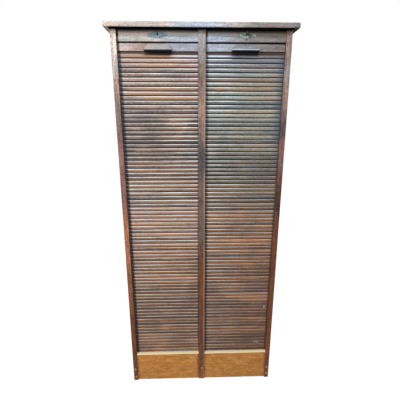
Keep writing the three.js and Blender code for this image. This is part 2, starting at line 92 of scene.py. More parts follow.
# Node trees: one method adds any node, and a Term lets its output take part in sums
class Term:
    def __init__(self, sheet, socket):
        self.sheet, self.socket = sheet, socket

    def sum(self, operation, first, second=0.0, clamp=False):
        return self.sheet.add("ShaderNodeMath", {0: first, 1: second}, operation=operation, use_clamp=clamp)

    def __add__(self, other):
        return self.sum("ADD", self, other)

    __radd__ = __add__

    def __sub__(self, other):
        return self.sum("SUBTRACT", self, other)

    def __rsub__(self, other):
        return self.sum("SUBTRACT", other, self)

    def __mul__(self, other):
        return self.sum("MULTIPLY", self, other)

    __rmul__ = __mul__

    def __truediv__(self, other):
        return self.sum("DIVIDE", self, other)

    def __pow__(self, other):
        return self.sum("POWER", self, other)

    def abs(self):
        return self.sum("ABSOLUTE", self)

    def sin(self):
        return self.sum("SINE", self)

    def wave(self):
        return self.sin() * 0.5 + 0.5

    def orMore(self, other):
        return self.sum("MAXIMUM", self, other)

    def clamped(self):
        return self.sum("ADD", self, 0.0, clamp=True)

    def clampedTo(self, low, high):
        return self.sum("MAXIMUM", self.sum("MINIMUM", self, high), low)

    def step(self, start, end, low=0.0, high=1.0):
        values = {"Value": self, "From Min": start, "From Max": end, "To Min": low, "To Max": high}
        return self.sheet.add("ShaderNodeMapRange", values, interpolation_type="SMOOTHSTEP")

    def near(self, middle, outer, inner):  # one at the middle, none past the outer reach
        return (self - middle).abs().step(outer, inner)

    def within(self, low, high, soft):  # one between two places, with soft ends
        half = (high - low) / 2
        return self.near((low + high) / 2, half + soft, half - soft)


class Sheet:
    def __init__(self, tree, tones=None):
        self.tree, self.tones, self.colour = tree, tones, None

    def add(self, kind, values=None, output=0, **settings):
        node = self.tree.nodes.new(kind)
        for name, setting in settings.items():
            if name == "stops":
                self.setStops(node.color_ramp, setting)
            else:
                setattr(node, name, setting)
        for name, value in (values or {}).items():
            if isinstance(value, Term):
                self.tree.links.new(value.socket, node.inputs[name])
            else:
                node.inputs[name].default_value = value
        return Term(self, node.outputs[output]) if len(node.outputs) else None

    def setStops(self, ramp, stops):
        while len(ramp.elements) < len(stops):
            ramp.elements.new(0.5)
        for element, (place, colour) in zip(ramp.elements, stops):
            element.position, element.color = place, (*colour, 1.0)

    # A tone is a name among the material's own tones, a colour or a Term
    def tone(self, given):
        found = self.tones[given] if isinstance(given, str) else given
        return found if isinstance(found, Term) else (*found, 1)

    def mix(self, share, first, second, blend="MIX"):
        return self.add("ShaderNodeMix", {0: share, 6: self.tone(first), 7: self.tone(second)}, 2,
                        data_type="RGBA", blend_type=blend, clamp_result=False)

    def paint(self, tone, share):
        self.colour = self.mix(share, self.colour, tone)

    def tint(self, tone, share=1.0):
        self.colour = self.mix(share, self.colour, tone, "MULTIPLY")

    def banded(self, along, span, bands):
        low, high = span
        stops = [((place - low) / (high - low), self.tones[tone]) for place, tone in bands]
        return self.add("ShaderNodeValToRGB", {"Fac": (along - low) / (high - low)}, stops=stops)

    def noise(self, stretch, detail=3.0, rough=0.55, warp=0.0, seed=0.0):
        stretched = self.add("ShaderNodeVectorMath", {0: self.place, 1: stretch}, operation="MULTIPLY")
        values = {"Vector": stretched, "W": seed, "Scale": 1.0, "Detail": detail, "Roughness": rough,
                  "Distortion": warp}
        return self.add("ShaderNodeTexNoise", values, noise_dimensions="4D")

    def chance(self, low, high, seed):
        return self.add("FunctionNodeRandomValue", {2: low, 3: high, "Seed": seed}, 1, data_type="FLOAT")


def newMaterial(name, tones=None):
    material = bpy.data.materials.new(name)
    material.use_nodes = True
    material.node_tree.nodes.clear()
    sheet = Sheet(material.node_tree, tones)
    sheet.place = sheet.add("ShaderNodeTexCoord", output="Object")
    sheet.x, sheet.y, sheet.z = (sheet.add("ShaderNodeSeparateXYZ", {0: sheet.place}, i) for i in range(3))
    return material, sheet


def finishMaterial(sheet, roughness, height, strength, depth, gloss=0.5, metallic=0.0):
    bump = sheet.add("ShaderNodeBump", {"Height": height, "Strength": strength, "Distance": depth})
    shader = sheet.add("ShaderNodeBsdfPrincipled",
                       {"Base Color": sheet.colour, "Roughness": roughness, "Metallic": metallic,
                        "Specular IOR Level": gloss, "Normal": bump})
    sheet.add("ShaderNodeOutputMaterial", {"Surface": shader})


# Wood. Grain runs along one axis of the piece; figure, fibres and pores are noises stretched along it
def stretchAlong(grain, along, across):
    return tuple(along if axis == grain else across for axis in "xyz")


def woodPattern(sheet, grain, seed, figure=1.0):
    rings = sheet.noise(stretchAlong(grain, 1.7, 17 * figure), 2, 0.5, 0.35, seed)
    lines = (rings * 70).wave() ** 1.6
    fibres = sheet.noise(stretchAlong(grain, 9, 420), 4, 0.62, 0, seed)
    pores = sheet.noise(stretchAlong(grain, 40, 900), 2, 0.5, 0, seed).step(0.58, 0.72)
    clouds = sheet.noise(stretchAlong(grain, 2.6, 9), 3, 0.55, 0.2, seed)
    return lines, fibres, pores, clouds


def wornEdges(sheet, radius=0.0016):
    rounded = sheet.add("ShaderNodeBevel", {"Radius": radius}, samples=6)
    face = sheet.add("ShaderNodeNewGeometry", output="Normal")
    match = sheet.add("ShaderNodeVectorMath", {0: rounded, 1: face}, 1, operation="DOT_PRODUCT")
    return match.step(0.985, 0.86)


# One beside the given edges of the bays
def nearEdges(x, edges, outer, inner):
    found = x.near(edges[0], outer, inner)
    for edge in edges[1:]:
        found = found.orMore(x.near(edge, outer, inner))
    return found


# One between the ends of the pulls, where they cast their painted shadow below them
def underPull(x):
    return x.abs().near(pullMiddle, pullHalf + 0.001, pullHalf - 0.005)


def inRightBay(x):
    return x.step(-0.01, 0.01)


# Old stained oak: browns and reds of its stain, and pale, grey and blue tones that are partly its fading and
# partly painted sheen and glare
oakTones = dict(
    cream=(0.60, 0.48, 0.405), pale=(0.41, 0.35, 0.32), ash=(0.25, 0.225, 0.21), tan=(0.285, 0.18, 0.135),
    honey=(0.37, 0.135, 0.066), amber=(0.42, 0.225, 0.12), umber=(0.165, 0.115, 0.095),
    plum=(0.215, 0.10, 0.078), mauve=(0.265, 0.135, 0.108), dusk=(0.165, 0.10, 0.086),
    walnut=(0.135, 0.086, 0.066), rust=(0.235, 0.084, 0.036), red=(0.165, 0.052, 0.018),
    brown=(0.115, 0.042, 0.023), bog=(0.062, 0.023, 0.016), dark=(0.07, 0.033, 0.026),
    slate=(0.058, 0.05, 0.054), smoke=(0.165, 0.142, 0.135), fog=(0.225, 0.18, 0.172),
    hazel=(0.15, 0.076, 0.044), pewter=(0.138, 0.13, 0.12), flint=(0.215, 0.218, 0.235),
    steel=(0.32, 0.36, 0.42), mist=(0.275, 0.275, 0.30), frost=(0.38, 0.47, 0.55), chalk=(0.45, 0.45, 0.42),
    olive=(0.34, 0.35, 0.30), black=(0.01, 0.008, 0.011),
)
# Bands are (place, tone) along the board: heights on the stiles, places across on the rails and the top
boardOak = dict(
    leftSide=dict(grain="z", seed=3.1, roughness=0.42, figure=1.5, front="side_board_left", bands=[
        (0.33, "red"), (0.45, "rust"), (0.62, "rust"), (0.72, "honey"), (0.88, "honey"), (0.98, "plum"),
        (1.06, "plum"), (1.14, "mauve"), (1.20, "plum"), (1.27, "dusk"), (1.34, "umber"), (1.42, "tan"),
        (1.49, "pale"), (1.57, "cream")]),
    middle=dict(grain="z", seed=5.6, roughness=0.42, figure=1.5, front="centre_partition", glow=0.75, bands=[
        (0.00, "honey"), (0.09, "red"), (0.30, "brown"), (0.58, "red"), (0.68, "brown"), (0.78, "walnut"),
        (1.06, "walnut"), (1.12, "slate"), (1.19, "slate"), (1.26, "umber"), (1.35, "tan"), (1.46, "umber"),
        (1.54, "umber"), (1.60, "ash")]),
    rightSide=dict(grain="z", seed=9.4, roughness=0.42, figure=1.5, front="side_board_right", bands=[
        (0.72, "red"), (0.88, "brown"), (0.93, "bog"), (1.00, "bog"), (1.06, "brown"), (1.13, "walnut"),
        (1.21, "plum"), (1.27, "slate"), (1.33, "dusk"), (1.42, "tan"), (1.49, "ash"), (1.55, "umber"),
        (1.62, "tan")]),
    lockRail=dict(grain="x", seed=7.7, roughness=0.42, figure=0.9, bands=[
        (-0.33, "olive"), (-0.17, "pale"), (-0.05, "steel"), (0.06, "steel"), (0.17, "ash"),
        (0.31, "smoke")]),
    leadRail=dict(grain="x", seed=8.3, roughness=0.40, figure=0.9, bands=[
        (-0.33, "pale"), (-0.22, "tan"), (-0.12, "mist"), (0.02, "steel"), (0.08, "steel"), (0.18, "ash"),
        (0.28, "smoke")]),
    pull=dict(grain="x", seed=13.0, roughness=0.38, figure=0.9, bands=[
        (-0.23, "pale"), (-0.12, "mist"), (0.02, "mist"), (0.10, "flint")]),
    top=dict(grain="x", seed=12.4, roughness=0.46, figure=1.1, front="top_board", bands=[
        (-0.36, "cream"), (-0.28, "pale"), (-0.12, "pale"), (-0.05, "steel"), (0.06, "steel"),
        (0.14, "pale"), (0.20, "ash"), (0.26, "fog"), (0.33, "fog"), (0.36, "pewter")]),
)
boardSpan = dict(x=(-0.40, 0.40), z=(0.0, 1.66))


def boardOakMaterial(name, look):
    material, sheet = newMaterial(f"{name}Oak", oakTones)
    x, z = sheet.x, sheet.z
    grain, seed = look["grain"], look["seed"]
    lines, fibres, pores, clouds = woodPattern(sheet, grain, seed)
    patches = sheet.noise(stretchAlong(grain, 20, 120), 3, 0.6, 0.3, seed + 1)
    drift = (clouds - 0.5) * 0.24 + (patches - 0.5) * 0.10
    sheet.colour = sheet.banded((x if grain == "x" else z) + drift, boardSpan[grain], look["bands"])
    frontal = 1.0
    if "front" in look:  # the bands, stain and painted sheen, are on the front edge
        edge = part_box(look["front"])[0].y
        frontal = sheet.y.step(edge + 0.016, edge + 0.003)
        broad = sheet.mix((clouds * 0.7 + patches * 0.3).step(0.25, 0.75), "red", "hazel")
        sheet.colour = sheet.mix(frontal, broad, sheet.colour)
    if name == "lockRail":
        # painted glare along the middle of the rail: chalky at the far left, bluish further on, gone towards
        # the right bay
        railGlare = sheet.mix(x.step(-0.26, -0.10), "chalk", "frost")
        sheet.paint(railGlare, z.near(railTop - 0.0185, 0.013, 0.006) * x.step(0.16, 0.05, 0.0, 0.85))
    grit = sheet.noise(stretchAlong(grain, 130, 300), 2, 0.7, 0, seed + 6)
    shade = fibres * 0.34 + patches * 0.46 + lines * 0.10 + clouds * 0.14 + (grit - 0.5) * 1.05
    sheet.tint(((shade - 0.52) * (2.0 * look["figure"]) + 1).clampedTo(0.30, 1.8))
    blush = sheet.noise(stretchAlong(grain, 60, 130), 2, 0.6, 0.2, seed + 4)
    sheet.paint("amber", blush.step(0.52, 0.68) * 0.16)
    # a painted bluish sheen on the front, stronger higher up
    sheet.paint("steel", blush.step(0.46, 0.32) * frontal * z.step(0.6, 1.1, 0.04, 0.16))
    stains = sheet.noise((7, 7, 5), 3, 0.6, 0.6, seed + 2).step(0.56, 0.70)
    sheet.paint("dark", stains * 0.35)
    sheet.paint("black", pores * 0.45)
    rubbed = wornEdges(sheet) * sheet.noise((34, 34, 34), 3, 0.6).step(0.36, 0.60, 0.25, 1.0)
    if "glow" in look:  # the edge that the light from the right catches
        caught = x.step(0.004, 0.012) * sheet.noise((30, 30, 5), 3, 0.6, 0, 3.0).step(0.30, 0.60)
        sheet.paint("amber", caught * look["glow"])
    sheet.paint("pale", rubbed * 0.60)
    nicks = sheet.noise((95, 95, 95), 1, 0.5, 0, 5.0).step(0.735, 0.76)
    sheet.paint("pale", nicks * 0.2)
    if name in boardMarks:
        boardMarks[name](sheet, x, z, patches, clouds)
        # painted shadow that the stiles cast over the rails' left ends
        sheet.paint("black", nearEdges(x, bayEdges[::2], 0.009, 0.003) * 0.75)
    roughness = look["roughness"] + fibres * 0.16 - rubbed * 0.08 + stains * 0.08
    height = fibres * 0.5 + (1 - pores) * 0.6 + lines * 0.25
    finishMaterial(sheet, roughness, height, 0.35, 0.0005, gloss=0.20)
    return material


# Painted shade: black in the gap at the head, above the strip and beside the foot of the pull, and a dark
# brown strip below, left black under the pull
def markLeadRail(sheet, x, z, patches, clouds):
    head = (z + inRightBay(x) * 0.0018).step(leadTop - 0.0016, leadTop - 0.0006) * 0.9
    besidePull = x.abs().near(pullMiddle, pullHalf + 0.006, pullHalf + 0.001)
    besidePull = besidePull * z.step(pullFoot + 0.013, pullFoot + 0.006) * 0.55
    sheet.paint("black", z.step(stripTop + 0.0036, stripTop + 0.0022).orMore(head).orMore(besidePull) * 0.94)
    strip = z.near(stripTop - 0.0028, 0.0021, 0.0013) * 0.85
    sheet.paint("brown", strip * underPull(x).step(0.0, 1.0, 1.0, 0.35) * 0.90)


# A painted highlight along the lip, over painted shade on the lower edge
def markPull(sheet, x, z, patches, clouds):
    lip = z.near(pullFoot + 0.005, 0.0028, 0.0018) * patches.step(0.35, 0.60, 0.60, 1.0)
    sheet.paint("frost", lip * (inRightBay(x) * 0.50 + 0.35))
    sheet.paint("black", (z + inRightBay(x) * 0.0013).step(pullFoot + 0.0045, pullFoot + 0.0035) * 0.85)


# Painted shade at the foot, a painted highlight towards the head, most so at the left, and the painted
# shadow of the top's overhang along the head, most so at the right
def markLockRail(sheet, x, z, patches, clouds):
    sheet.paint("black", z.step(railFoot + 0.0022, railFoot + 0.001) * 0.85)
    sheet.paint("cream", z.step(railTop - 0.024, railTop - 0.01) * x.step(0.10, -0.10, 0.20, 0.60))
    overhangShadow = z.step(railTop - 0.012, railTop - 0.002) * clouds.step(0.30, 0.55, 0.35, 1.0)
    sheet.paint("dark", overhangShadow * x.step(-0.10, 0.10, 0.10, 0.70))


boardMarks = dict(leadRail=markLeadRail, pull=markPull, lockRail=markLockRail)

# Undersides: bare wood, with painted shade, near black, along the front of the overhang and a painted
# highlight at its left end
rawOak = dict(soot=(0.002, 0.005, 0.011), bare=(0.23, 0.145, 0.085), shade=(0.11, 0.065, 0.04),
              leftEndHighlight=(0.90, 0.82, 0.74), sootTo=0.012, soft=0.004)


def rawOakMaterial():
    look = rawOak
    material, sheet = newMaterial("rawOak", look)
    lines, fibres, pores, clouds = woodPattern(sheet, "x", 2.0)
    sheet.colour = sheet.mix(fibres * 0.7 + clouds * 0.3, "shade", "bare")
    overhangShadeEnd = stileFace + look["sootTo"]
    outside = sheet.y.step(overhangShadeEnd + look["soft"], overhangShadeEnd)
    outside = outside * sheet.x.abs().step(caseHalf + look["soft"], caseHalf)
    # painted shade under the front of the overhang, and a painted highlight under its left end
    sheet.paint("soot", outside * (0.965 + fibres * 0.03))
    sheet.paint("leftEndHighlight", sheet.x.step(-caseHalf, -caseHalf - look["soft"]))
    finishMaterial(sheet, 0.9, fibres + lines * 0.4, 0.4, 0.0006, gloss=0.0)
    return material


plinthOak = dict(deep=(0.345, 0.12, 0.024), mid=(0.545, 0.225, 0.048), light=(0.72, 0.36, 0.095),
                 rust=(0.44, 0.135, 0.036), pale=(1.00, 0.86, 0.51), shadeAndDirt=(0.13, 0.052, 0.022),
                 bareAndLitTop=(0.1556, 0.158), behind=(0.015, 0.0185), seed=21.0)


def plinthOakMaterial():
    look = plinthOak
    material, sheet = newMaterial("plinthOak", look)
    x, y, z = sheet.x, sheet.y, sheet.z
    lines, fibres, pores, clouds = woodPattern(sheet, "x", look["seed"], 1.3)
    mottle = sheet.noise((26, 60, 75), 4, 0.62, 0.6, 4.0)
    blotches = sheet.noise((8, 20, 22), 3, 0.6, 0.7, 6.0)
    grit = sheet.noise((95, 300, 360), 2, 0.7, 0, 8.0)
    shade = clouds * 0.18 + fibres * 0.22 + lines * 0.04 + mottle * 0.42 + blotches * 0.16
    shade = shade + (grit - 0.5) * 0.50
    sheet.colour = sheet.banded(shade, (0, 1), [(0.38, "deep"), (0.50, "mid"), (0.62, "light")])
    sheet.paint("rust", blotches.step(0.50, 0.66) * 0.50)
    sheet.paint("deep", sheet.noise((16, 80, 190), 3, 0.6, 1.2, 9.0).step(0.60, 0.74) * 0.40)
    sheet.paint("shadeAndDirt", pores * 0.35)
    # darker along the foot and at the ends beside the stiles
    foot = (z + (mottle - 0.5) * 0.02).step(0.012, 0.003)
    darkerEdges = nearEdges(x, bayEdges, 0.014, 0.001).orMore(foot)
    darkerEdges = darkerEdges * sheet.noise((30, 30, 40), 3, 0.6, 0, 2.0).step(0.30, 0.62, 0.15, 0.75)
    sheet.paint("shadeAndDirt", darkerEdges)
    # a pale top face: bare wood, brightened further as a painted highlight
    sheet.paint("pale", (z + (fibres - 0.5) * 0.003).step(*look["bareAndLitTop"]) * 0.92)
    # painted shadow of the curtain over the rear of the top face
    start, end = look["behind"]
    sheet.paint("shadeAndDirt", (y + (mottle - 0.5) * 0.003).step(plinthFace + start, plinthFace + end) * 0.90)
    roughness = 0.48 + fibres * 0.15 + darkerEdges * 0.12
    finishMaterial(sheet, roughness, fibres * 0.5 + (1 - pores) * 0.6 + lines * 0.2, 0.3, 0.0005, gloss=0.28)
    return material


curtainLook = dict(pitch=0.0175, slatHeight=0.0164, thickness=0.008, crown=0.0036, crownPower=2.3,
                   crownSteps=14, canvasThickness=0.0008, canvasMargin=0.014, canvasSlack=0.0002,
                   tilt=0.012, shift=0.00012, seed=5)

# Slats: the body takes its tone from the curtain's bands and from each slat's own number, its pale and grey
# bands high up partly fading and partly painted glare; the upper shoulder carries a painted highlight, the
# lower one and the ends painted shade
slatOak = dict(
    tones=dict(
        brown=(0.158, 0.087, 0.048), warm=(0.235, 0.132, 0.068), tan=(0.30, 0.19, 0.118),
        fawn=(0.235, 0.143, 0.098), dusk=(0.098, 0.07, 0.056), pale=(0.296, 0.196, 0.148),
        green=(0.20, 0.198, 0.152), moss=(0.172, 0.162, 0.13), stone=(0.176, 0.156, 0.14),
        peat=(0.12, 0.098, 0.072), loam=(0.172, 0.112, 0.07), coolLeft=(0.86, 0.985, 1.12),
        warmRight=(1.02, 1.00, 0.90), coldTint=(0.88, 1.16, 1.45), greyedLeft=(0.165, 0.14, 0.122),
        greyedRight=(0.152, 0.156, 0.144), frost=(0.36, 0.48, 0.58), ember=(0.475, 0.212, 0.066),
        umber=(0.36, 0.20, 0.11), gloom=(0.06, 0.05, 0.052), gloomFoot=(0.072, 0.048, 0.04),
        soot=(0.014, 0.011, 0.013), sootLeft=(0.03, 0.012, 0.011), sootFoot=(0.072, 0.026, 0.011),
        endShade=(0.05, 0.065, 0.095), endFoot=(0.016, 0.015, 0.022), endHead=(0.036, 0.048, 0.072),
        crestTop=(0.88, 0.85, 0.79), crestWarm=(0.80, 0.69, 0.59), crestCool=(0.84, 0.94, 0.96),
        crestFoot=(0.39, 0.35, 0.31), warmSlat=(0.38, 0.195, 0.098), coolSlat=(0.115, 0.125, 0.14),
        fleck=(0.72, 0.72, 0.70)),
    left=[(0.45, "brown"), (0.62, "warm"), (0.84, "tan"), (0.94, "fawn"), (1.11, "fawn"), (1.18, "dusk"),
          (1.29, "dusk"), (1.38, "pale")],
    right=[(0.46, "brown"), (0.62, "warm"), (0.90, "warm"), (1.02, "loam"), (1.13, "peat"), (1.21, "moss"),
           (1.29, "moss"), (1.36, "green"), (1.45, "green"), (1.53, "stone")],
    # Changes of cast over parts of the front: from and to across, from and to in height, tint
    casts=[((-0.40, -0.22), (0.35, 1.70), (0.935, 1.00, 1.10)),
           ((0.20, 0.40), (0.88, 1.70), (0.93, 1.00, 1.12)),
           ((-0.40, 0.40), (0.86, 1.00), (0.935, 1.00, 1.10)),
           ((0.02, 0.40), (0.88, 1.03), (0.925, 0.96, 0.99)),
           ((0.22, 0.40), (0.70, 0.92), (0.96, 1.00, 1.08)),
           ((0.02, 0.40), (1.21, 1.34), (1.08, 1.07, 1.04)),
           ((-0.34, 0.00), (1.01, 1.13), (1.07, 0.975, 0.88)),
           ((-0.14, 0.00), (1.03, 1.15), (0.88, 0.88, 0.86)),
           ((0.00, 0.13), (1.01, 1.15), (0.83, 0.87, 0.93)),
           ((0.10, 0.40), (1.13, 1.27), (1.06, 1.00, 0.90)),
           ((0.20, 0.40), (1.48, 1.60), (1.04, 0.99, 0.93)),
           ((-0.40, 0.40), (-0.10, 0.92), (1.035, 0.938, 1.01)),
           ((0.10, 0.40), (0.44, 0.53), (0.90, 1.03, 1.26)),
           ((-0.08, 0.40), (1.47, 1.70), (0.985, 0.955, 1.085))],
    # Single slats of another tone: number from the head, from, to, strength
    warmSlats=[(1, -0.34, -0.06, 1.6), (3, -0.25, -0.03, 1.2), (8, -0.32, -0.01, 1.2),
               (9, -0.33, -0.15, 1.2), (10, -0.24, -0.01, 1.2), (6, 0.04, 0.33, 0.8), (8, 0.02, 0.31, 1.0),
               (10, 0.20, 0.33, 0.9)],
    coolSlats=[(2, 0.08, 0.34, 1.5), (3, 0.20, 0.34, 0.8)],
    # Flecks of old paint: x, z, half width, half height
    flecks=[(0.268, 0.2045, 0.0085, 0.003), (0.282, 0.2055, 0.0085, 0.003), (0.29, 0.202, 0.0085, 0.003),
            (0.311, 0.411, 0.0048, 0.011)],
    crest=(0.50, 0.70), roughness=0.36)


def slatValue(sheet, name):
    return sheet.add("ShaderNodeAttribute", output="Fac", attribute_name=name)


def paintSlatBody(sheet, look):
    x, z, rightBay = sheet.x, sheet.z, inRightBay(sheet.x)
    slatTone = slatValue(sheet, "slatTone")
    own, seed = (slatTone * 41.0).wave(), slatTone * 40
    patch = sheet.noise((12, 50, 100), 4, 0.66, 0.3, seed)
    fibres = sheet.noise((18, 500, 500), 4, 0.62, 0, seed)
    pores = sheet.noise((48, 1000, 1000), 2, 0.5, 0, seed).step(0.58, 0.72)
    clouds = sheet.noise((6, 6, 9), 3, 0.62, 0.7, 11.0)
    grit = sheet.noise((120, 260, 330), 2, 0.7, 0, seed + 9)
    long = sheet.noise((5, 50, 100), 3, 0.6, 0.3, seed + 5)
    height = z + (clouds - 0.5) * 0.48
    left, right = (sheet.banded(height, boardSpan["z"], look[side]) for side in sides)
    sheet.colour = sheet.mix(rightBay, left, right)
    greyed = sheet.mix(rightBay, "greyedLeft", "greyedRight")
    sheet.paint(greyed, (slatTone * 97.0).sin().step(0.0, 0.7) * z.step(1.16, 1.36) * 0.75)
    shade = patch * 0.40 + fibres * 0.40 + grit * 1.40 + own * 0.30 - 0.75
    sheet.tint((shade * 2.0).clampedTo(0.35, 1.9))
    mood = patch * 0.45 + long * 0.55 + (clouds - 0.5) * 0.50 + (own - 0.5) * 0.14
    sheet.paint(sheet.mix(z.step(0.85, 1.15), "ember", "umber"), mood.step(0.52, 0.66) * 0.60)
    sheet.paint(sheet.mix(z.step(0.60, 1.05), "gloomFoot", "gloom"), mood.step(0.47, 0.33) * 0.62)
    cast = sheet.mix((x + (long - 0.5) * 0.35).step(0.06, 0.24), "coolLeft", "warmRight")
    sheet.tint(cast, rightBay * z.step(1.14, 1.40))
    for kind in ("warm", "cool"):
        for number, start, end, strength in look[f"{kind}Slats"]:
            slatZ = curtainHead - curtainLook["pitch"] * (number - 0.5)
            along = (x + (long - 0.5) * 0.15).within(start, end, 0.03)
            sheet.paint(f"{kind}Slat", z.near(slatZ, 0.0088, 0.008) * along * patch * strength)
    for (start, end), (low, high), tint in look["casts"]:
        sheet.tint(tint, x.within(start, end, 0.03) * z.within(low, high, 0.03))
    sheet.paint("soot", pores * 0.35)
    return fibres, pores, clouds, grit, long


# The first slat has a painted bluish highlight beside the middle stile, and painted shadow under the pulls
# and over the right bay's right part
def paintFirstSlat(sheet):
    x, rightBay = sheet.x, inRightBay(sheet.x)
    first = sheet.z.step(curtainHead - 0.019, curtainHead - 0.018)
    nearMiddle = x.abs().step(0.14, 0.09)
    sheet.paint("frost", first * nearMiddle * (0.36 + rightBay * 0.26))
    sheet.tint("coldTint", first * rightBay * underPull(x))
    sheet.paint("endShade", first * rightBay * x.step(0.08, 0.14) * 0.35)
    return first, nearMiddle


def paintUpperShoulder(sheet, look, across, clouds, long, highlightBreak):
    x, z, rightBay = sheet.x, sheet.z, inRightBay(sheet.x)
    first, nearMiddle = paintFirstSlat(sheet)
    # Painted highlight along the upper shoulder: bluer towards the right, warm at the far left near the
    # head, grey towards the foot
    cool = (sheet.noise((6, 6, 12), 3, 0.6, 0.4, 23.0) + x * 0.55).step(0.42, 0.60)
    head = sheet.mix(cool, "crestTop", "crestCool")
    head = sheet.mix(x.step(-0.16, -0.26) * z.step(1.42, 1.50), head, "crestWarm")
    crestHighlight = sheet.mix(z.step(0.10, 1.30), "crestFoot", head)
    start, end = look["crest"]
    crest = across.step(start, end) * across.step(1.0, 0.95)
    fromMiddle = (x + (long - 0.5) * 0.30).step(0.04, 0.24, 1.0, 0.36)
    # The painted highlight is weaker in a band at three quarters of the height, stronger above it at the
    # right's inner end, and weakest under the pulls, in their shadow
    rubbed = 1 - z.near(1.25, 0.16, 0.06) * x.step(-0.04, -0.24, 0.0, 0.45)
    rubbed = rubbed - z.step(1.36, 1.28) * z.step(0.94, 1.12) * rightBay * 0.22
    rubbed = rubbed + z.step(1.32, 1.42) * rightBay * x.step(0.16, 0.08) * 0.40
    rubbed = rubbed * (1 - first * underPull(x) * 0.95) - z.step(1.49, 1.53) * 0.12
    pullShade = underPull(x) * rightBay * z.step(curtainHead - 0.026, curtainHead - 0.0235)
    rubbed = rubbed * (1 - pullShade * 0.6) * (long * 0.6 + clouds * 0.4).step(0.40, 0.60, 0.45, 1.0)
    sheet.paint(crestHighlight, crest * fromMiddle * rubbed * highlightBreak.step(0.30, 0.58, 0.50, 1.0))
    # a painted highlight on the first slat beside the middle stile
    sheet.paint(crestHighlight, z.near(curtainHead - 0.0078, 0.0028, 0.0012) * nearMiddle * 0.42)
    return crest


# Painted shade along the lower shoulder, at the curtain's head and under the pulls, and painted shadow of
# the stiles at the slats' ends
def paintShades(sheet, across, crest, clouds, long):
    x, z, rightBay = sheet.x, sheet.z, inRightBay(sheet.x)
    leftHigh = (1 - rightBay) * z.step(0.90, 1.10)
    deep = rightBay * x.step(0.24, 0.08) * z.step(1.0, 1.15) * 0.16 + leftHigh * 0.06
    # painted shade along the lower shoulder and in the gap at each slat's top edge
    shadeAndDirt = (across - deep).step(-0.46, -0.72).orMore(across.step(0.95, 1.0))
    lowerShadeTone = sheet.mix(z.step(1.05, 0.55), sheet.mix(leftHigh, "soot", "sootLeft"), "sootFoot")
    sheet.paint(lowerShadeTone, shadeAndDirt * 0.92)
    # painted shadow under the pulls, and painted shade in the gap at the curtain's head
    pullShadow = (z + (clouds - 0.5) * 0.01).step(curtainHead - 0.006, curtainHead - 0.003) * underPull(x) * 0.70
    headGap = z.step(curtainHead - 0.0054, curtainHead - 0.0042) * x.step(-0.26, -0.16, 0.4, 0.92)
    sheet.paint("soot", pullShadow.orMore(headGap))
    # painted shadow of the stiles over the slats' ends, and painted shade along the right bay's right end
    upper, wander = z.step(0.60, 1.40), (clouds - 0.5) * 0.006
    endTone = sheet.mix(upper, "endFoot", "endHead")
    for leftEdge, rightEdge in (bayEdges[:2], bayEdges[2:]):
        atLeft = ((x - leftEdge).abs() + wander).step(0.0135, 0.0055) * (0.94 - crest * 0.35)
        atRight = ((x - rightEdge).abs() + wander).step(0.006, 0.0015) * (0.72 - upper * 0.32)
        sheet.paint(endTone, atLeft.orMore(atRight))
    dim = ((x - bayEdges[3]).abs() + wander + (long - 0.5) * 0.05).step(0.036, 0.006) * z.step(1.05, 1.25)
    sheet.paint("endShade", dim * 0.62)
    return shadeAndDirt


def slatOakMaterial():
    look = slatOak
    material, sheet = newMaterial("slatOak", look["tones"])
    across = slatValue(sheet, "across")
    fibres, pores, clouds, grit, long = paintSlatBody(sheet, look)
    crest = paintUpperShoulder(sheet, look, across, clouds, long, fibres * 0.6 + grit * 0.4)
    shadeAndDirt = paintShades(sheet, across, crest, clouds, long)
    ragged = sheet.noise((200, 200, 380), 3, 0.7, 0, 1.0)
    for x, z, wide, high in look["flecks"]:
        spread = ((sheet.x - x) / wide) ** 2 + ((sheet.z - z) / high) ** 2
        sheet.paint("fleck", (spread + ragged * 3.0).step(2.1, 1.6) * 0.75)
    roughness = look["roughness"] + fibres * 0.14 + shadeAndDirt * 0.25
    finishMaterial(sheet, roughness, fibres * 0.5 + (1 - pores) * 0.5, 0.3, 0.0004, gloss=0.24)
    return material


canvasCloth = dict(thread=(0.33, 0.26, 0.17), gap=(0.10, 0.07, 0.045), pitch=900.0)


def canvasMaterial():
    look = canvasCloth
    material, sheet = newMaterial("canvasCloth", look)
    warp, weft = ((along * look["pitch"] * math.tau).wave() for along in (sheet.x, sheet.z))
    weave = warp * weft
    age = sheet.noise((12, 12, 12), 4, 0.6)
    sheet.colour = sheet.mix(weave.step(0.0, 0.35), "gap", "thread")
    sheet.paint("gap", age.step(0.40, 0.68) * 0.5)
    finishMaterial(sheet, 0.85 + age * 0.1, weave, 0.4, 0.0003, gloss=0.2)
    return material


plainWood = dict(deep=(0.16, 0.082, 0.04), mid=(0.345, 0.205, 0.105), light=(0.48, 0.32, 0.18))


def plainWoodMaterial(name, grain, seed, figure, shadeShift=0.0):
    material, sheet = newMaterial(name, plainWood)
    lines, fibres, pores, clouds = woodPattern(sheet, grain, seed, figure)
    shade = clouds * 0.50 + fibres * 0.40 + lines * 0.13 + shadeShift
    sheet.colour = sheet.banded(shade, (0, 1), [(0.30, "deep"), (0.54, "mid"), (0.76, "light")])
    sheet.paint("deep", sheet.noise((14, 14, 14), 4, 0.65, 0.3, seed).step(0.50, 0.70) * 0.35)
    sheet.paint("light", wornEdges(sheet) * 0.5)
    sheet.paint("deep", pores * 0.4)
    finishMaterial(sheet, 0.58 + fibres * 0.2, fibres * 0.5 + (1 - pores) * 0.5, 0.35, 0.0005, gloss=0.35)
    return material


